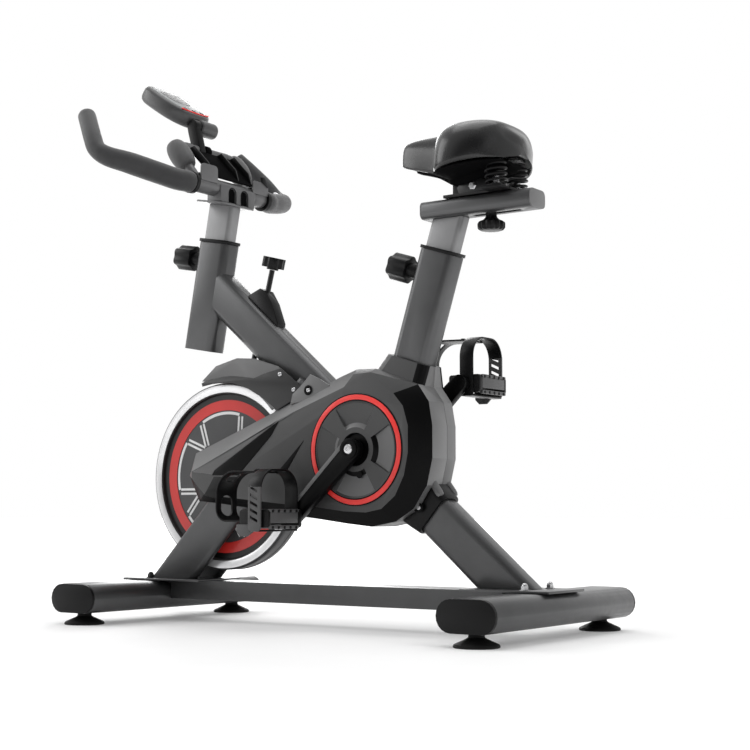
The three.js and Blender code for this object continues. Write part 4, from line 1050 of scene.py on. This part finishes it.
def pedal(side, sign):
    """A block on the spindle, a core, and two studded plates between rails, inside a toe cage."""
    low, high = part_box(f"pedal_{side}")
    middle = (low + high) / 2
    body = f"{side}_pedal"

    def at(dx, y, dz):
        return Vector((middle.x + dx * MM, sign * y * MM, middle.z + dz * MM))

    block = prism(f"pedal_block_{side}", rounded(63, 31.5, 5), at(0, 91.5, 0), 10.5, edge=1.2)
    place(block, f"pedal_{side}")
    fitting(prism(f"pedal_end_{side}", rounded(63, 30, 5), at(0, 174.5, 0), 6.5, edge=1), body,
            "black_plastic")
    core = [(0, 0), (11, 0), (12, 2), (12, 72), (10, 76), (0, 76)]
    fitting(lathe(f"pedal_core_{side}", core, at(0, 97, 0), (0, sign, 0), 28), body, "black_plastic")
    for end, direction in (("front", -1), ("rear", 1)):
        across = {"axis": "X", "edge": 0.8}
        plate = prism(f"pedal_plate_{end}_{side}", rounded(76, 20, 2, cz=2),
                      at(direction * 29.4, 135, 0), 4, **across)
        fitting(plate, body, "grey_plastic")
        for name, z, height in (("top", 13.5, 5), ("foot", -14.5, 6.5)):
            rail = prism(f"pedal_rail_{name}_{end}_{side}", rounded(79, height, 2),
                         at(direction * 29.8, 135, z), 5.6, **across)
            fitting(rail, body, "grey_plastic")
            for k in range(5):
                stud = [(0, 0), (2.7, 0), (2.7, 1.2), (1.6, 1.6), (0, 1.6)]
                spot = at(direction * 32.2, 103 + 16 * k, z - 0.8)
                fitting(lathe(f"pedal_stud_{name}_{end}_{k}_{side}", stud, spot, (direction, 0, 0), 16),
                        body, "black_plastic")
    for k, dz in enumerate((-8, 8)):
        bar = [(0, 0), (4, 0), (4, 56), (0, 56)]
        fitting(lathe(f"pedal_rod_{k}_{side}", bar, at(-28, 134 + dz * 3.4, 0), (1, 0, 0), 16), body,
                "bright_steel")

    toe_cage(side, sign, at)


def toe_cage(side, sign, at):
    """A perforated strap over the shoe and a front hoop with a window in front and one on its shoulder."""
    body = f"{side}_pedal"
    inner, outer, bottom, top, corner, thick = 85.6, 182, -19, 81, 34, 3
    over = [(inner, bottom), *arc(inner + corner, top - corner, corner, 180, 90, 10),
            *arc(outer - corner, top - corner, corner, 90, 8, 10)]
    under = [*arc(outer - corner, top - corner, corner + thick, 8, 90, 10),
             *arc(inner + corner, top - corner, corner + thick, 90, 180, 10), (inner - thick, bottom)]
    outline = [(sign * u, v) for u, v in over + under]
    origin = at(6.5, 0, 0)
    loop = prism(f"toe_strap_{side}", outline, origin, 27, axis="X", edge=0.7)
    place(loop, f"toe_cage_{side}")

    slots = []
    for k in range(5):
        z = -2 + 12.5 * k
        slots.append([(-2.5, z + 7.2), (-2.5, z + 2.4), (13.5, z - 5), (13.5, z - 0.2)])
    flank = [(-7, -12), *arc(1, -14, 8, 180, 270, 5), *arc(12, -14, 8, 270, 360, 5), (20, 53), (-7, 53)]
    side_plate = prism(f"toe_strap_side_{side}", flank, at(0, 183.6, 0), 3.2, holes=slots, edge=0.4)
    fitting(side_plate, body, "grey_plastic")
    floor = [(sign * u, v) for u, v in ((inner - thick, bottom), (outer + 1, bottom),
                                        (outer + 1, bottom - 3), (inner - thick, bottom - 3))]
    fitting(prism(f"toe_strap_floor_{side}", floor, origin, 25, axis="X", edge=0.7), body, "black_plastic")

    def path(offset):
        return [(-33.5, -3 - offset), (-76, -3 - offset), *arc(-78, 17, 20 + offset, 270, 180, 6),
                *arc(-60, 41, 38 + offset, 172, 90, 10), (-6, 77.5 + offset)]

    hoop = prism(f"toe_hoop_{side}", path(0) + path(3)[::-1], at(0, 133, 0), 54, edge=0.7)
    cutters = [
        prism("cut_front", rounded(30, 36, 13), at(-100, 133, 22), 60, axis="X", edge=0.1),
        prism("cut_shoulder", rounded(26, 24, 9), at(-84, 133, 72), 40, axis="X", edge=0.1,
              turn=Matrix.Rotation(math.radians(42), 4, "Y")),
    ]
    for cutter in cutters:
        modified(hoop, "BOOLEAN", operation="DIFFERENCE", object=cutter)
        bpy.data.objects.remove(cutter)
    fitting(hoop, body, "black_plastic")
    lug = prism(f"toe_lug_{side}", [(-42, -10), (-31.5, -10), (-31.5, 10), (-42, 10)], at(0, 132, 0),
                46, edge=1)
    fitting(lug, body, "grey_plastic")
    tab = [(-14, 2), (18, 2), (18, -10), (10, -18), (-6, -18), (-14, -10)]
    fitting(prism(f"toe_tab_{side}", tab, at(-20, 181, -12), 4, edge=0.8), body, "grey_plastic")
    stud = [(0, 0), (5, 0), (5.5, 3), (4, 5), (0, 5.4)]
    fitting(lathe(f"toe_strap_stud_{side}", stud, at(-30, 133, 80), UP, 20), body, "black_plastic")


def fender_details():
    """The pale cover over the flywheel with a dark cheek on each side and two screws."""
    refined("fender", 0.0012, "guard_light", 20)
    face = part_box("fender")[0].y / MM
    outline = [(-29, 165.5), (-31, 172), (-17, 176.5), (-5, 178), (17, 181), (38, 182), (66, 179),
               (94, 175), (117, 182), (157, 190), (202, 156), (190, 145), (186, 132), (148, 115),
               (114, 139), (80, 157), (45, 168), (17, 170), (-5, 169)]
    for side, sign in SIDES:
        plate = prism(f"fender_cheek_{side}", outline[::-1], near(FLYWHEEL, 0, sign * (0.2 - face), 0),
                      1.6, edge=0.5)
        fitting(plate, "frame", "guard_dark")
    for k, (dx, dz) in enumerate(((155, 179), (186, 150))):
        screw(f"fender_screw_{k}", near(FLYWHEEL, dx, face - 1.4, dz), LEFT, 4.2, "frame")


def feet():
    """Round rubber pads with a black nut."""
    for node in ("foot_front_left", "foot_front_right", "foot_rear_left", "foot_rear_right"):
        low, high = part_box(node)
        middle = Vector(((low.x + high.x) / 2, (low.y + high.y) / 2, 0))
        profile = [(0, 0), (34.5, 0), (35.5, 0.8), (35.5, 3.2), (34.6, 3.8), (34.6, 4.6), (33, 5.6),
                   (24, 9.6), (16, 13.2), (13, 15.2), (12.4, 17), (12.4, 20.5), (0, 20.5)]
        foot = lathe(node + "_pad", profile, middle, UP, 56)
        place(foot, node)
        nut = lathe(node + "_nut", [(0, 17), (9.8, 17), (9.8, 20.6), (0, 20.6)], middle, UP, 6)
        fitting(nut, BODY_OF[node], "black_steel", 20)


def lock_pins():
    """The spring pins of the two height knobs, long enough to stay in their tubes when pulled."""
    for end in ("head", "seat"):
        axis = Vector(JOINTS[f"{end}_lock_pull"]["axis"])
        knob = frame["nodes"][f"{end}_knob"]
        points = [knob.matrix_world @ vert.co for vert in knob.data.vertices]
        inner = min(point.dot(axis) for point in points)
        tip = [point for point in points if point.dot(axis) < inner + 0.5 * MM]
        middle = sum(tip, Vector()) / len(tip)
        pin = [(0, -12), (3.4, -11.6), (4.2, -10.5), (4.2, 9), (0, 9)]
        fitting(lathe(f"{end}_lock_pin", pin, middle, axis, 24), f"{end}_lock", "bright_steel")


def boot_ribs():
    """Two short rounded ribs along the top of the rear leg's boot."""
    top = Vector((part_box("rear_leg_boot")[1].x, 0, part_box("rear_leg_boot")[1].z))
    rib = [(0, 0), (3.5, 0.5), (6.2, 2.5), (7.4, 6), (7.6, 30), (7, 35), (5.5, 38), (0, 39)]
    for side, sign in SIDES:
        start = near(top, -32, sign * 22, 10)
        fitting(lathe(f"boot_rib_{side}", rib, start, (0.6, 0, -0.8), 32), "frame", "guard_light")


def plate_bolts():
    """Two bright nuts on the rear plate and two black ones on the front plate."""
    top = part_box("tie_beam")[1].z
    rear_x = centre("rear_stabilizer").x - 0.008
    front_x = centre("front_end_cap_left").x + 0.009
    for k, y in enumerate((-0.042, 0.042)):
        nut_and_bolt(f"rear_plate_nut_{k}", rear_x, y, top, "bright_steel")
        nut_and_bolt(f"front_plate_nut_{k}", front_x, y, top, "black_steel")


def slider_ends():
    """A light cap in each end of the saddle slider."""
    low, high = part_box("saddle_slider")
    middle = (low + high) / 2
    height = (high.z - low.z) / MM
    for name, x, outward in (("slider_cap_rear", high.x, 1), ("slider_cap_front", low.x, -1)):
        cap = prism(name, rounded(51.4, height - 0.6, 9.7), Vector((x + outward * 0.0012, 0, middle.z)),
                    2.4, axis="X", edge=0.7)
        fitting(cap, "seat_set", "guard_light")


# ------------------------------------------------------------------ camera, light and floor

def add_camera():
    azimuth = math.radians(34.96)
    pitch = math.radians(5.164)
    level = math.cos(pitch)
    direction = Vector((-math.sin(azimuth) * level, math.cos(azimuth) * level, math.sin(pitch)))
    data = bpy.data.cameras.new("camera")
    data.lens = 72.3
    data.sensor_width = 36
    data.clip_end = 100
    camera = linked("camera", data)
    camera.location = (1.6074, -2.1478, 0.2024)
    camera.rotation_euler = direction.to_track_quat("-Z", "Y").to_euler()
    bpy.context.scene.camera = camera


def add_area(name, location, target, size, power, glossy=True):
    data = bpy.data.lights.new(name, "AREA")
    data.shape = "RECTANGLE"
    data.size, data.size_y = size
    data.energy = power
    light = linked(name, data)
    light.location = location
    light.rotation_euler = (Vector(target) - Vector(location)).to_track_quat("-Z", "Y").to_euler()
    light.visible_camera = False
    light.visible_glossy = glossy


def add_world():
    """A white room that is dimmer on one side. The camera sees it as plain white."""
    world = bpy.data.worlds.new("studio")
    bpy.context.scene.world = world
    world.use_nodes = True
    tree = world.node_tree
    around = add(tree, "TexCoord").outputs["Generated"]
    toward = vector_math(tree, "DOT_PRODUCT", around, (0.57, -0.82, -0.15))["Value"]
    shift = add(tree, "Math", operation="MULTIPLY_ADD")
    feed(tree, shift, {0: toward, 1: 0.5, 2: 0.5})
    steps = add(tree, "ValToRGB", {"Fac": shift.outputs["Value"]})
    steps.color_ramp.interpolation = "EASE"
    bright, dim = steps.color_ramp.elements
    bright.position = 0.1
    bright.color = (1, 1, 1, 1)
    dim.position = 0.93
    dim.color = (0.16, 0.16, 0.16, 1)
    for position in (0.2, 0.66):
        steps.color_ramp.elements.new(position).color = (0.72, 0.72, 0.72, 1)
    seen = add(tree, "LightPath").outputs["Is Camera Ray"]
    inputs = {"Factor": seen, "A": steps.outputs["Color"], "B": (1, 1, 1, 1)}
    backdrop = add(tree, "Mix", inputs, data_type="RGBA").outputs["Result"]
    feed(tree, tree.nodes["Background"], {"Color": backdrop, "Strength": 1.0})


def add_floor():
    """White paper that fades into the white of the room."""
    bpy.ops.mesh.primitive_plane_add(size=60, location=(0, 0, 0))
    floor = bpy.context.object
    floor.name = "floor"
    material, tree, shader = new_material("floor_paper")
    vector = object_coordinates(tree)
    away = vector_math(tree, "LENGTH", vector)["Value"]
    glow = {"Value": away, "From Min": 1.2, "From Max": 5.0, "To Min": 0.12, "To Max": 1.0}
    feed(tree, shader, {
        "Base Color": ramp(tree, noise(tree, vector, 3, 4), (0.8, 0.8, 0.8), (0.84, 0.84, 0.84)),
        "Roughness": 0.9,
        "Emission Color": (1, 1, 1, 1),
        "Emission Strength": add(tree, "MapRange", glow).outputs["Result"]})
    floor.data.materials.append(material)


def add_studio():
    """The white room, its floor and four soft boxes that the camera doesn't see."""
    add_world()
    add_area("left_box", (-2.9, -1.3, 2.2), (0, 0, 0.5), (2.0, 2.4), 38)
    add_area("front_box", (-2.4, 2.6, 1.5), (0, 0, 0.6), (1.2, 2.4), 45)
    add_area("right_box", (3.0, -0.5, 1.6), (0, 0, 0.6), (1.2, 2.2), 26, glossy=False)
    add_area("top_box", (0.0, 0.4, 3.2), (0, 0, 0.3), (2.4, 2.4), 26)
    add_floor()
    bpy.context.scene.view_settings.view_transform = "Standard"


add_camera()
add_studio()

belt_guard()
guard_disc()
flywheel()
grips()
bar_clamp()
inner_bar()
tablet_holder()
console()
saddle()
crank_and_pedals()
fender_details()
feet()
lock_pins()
boot_ribs()
plate_bolts()
slider_ends()
slide_knob()

for node in frame["nodes"]:
    if node not in SHOWN:
        refined(node)
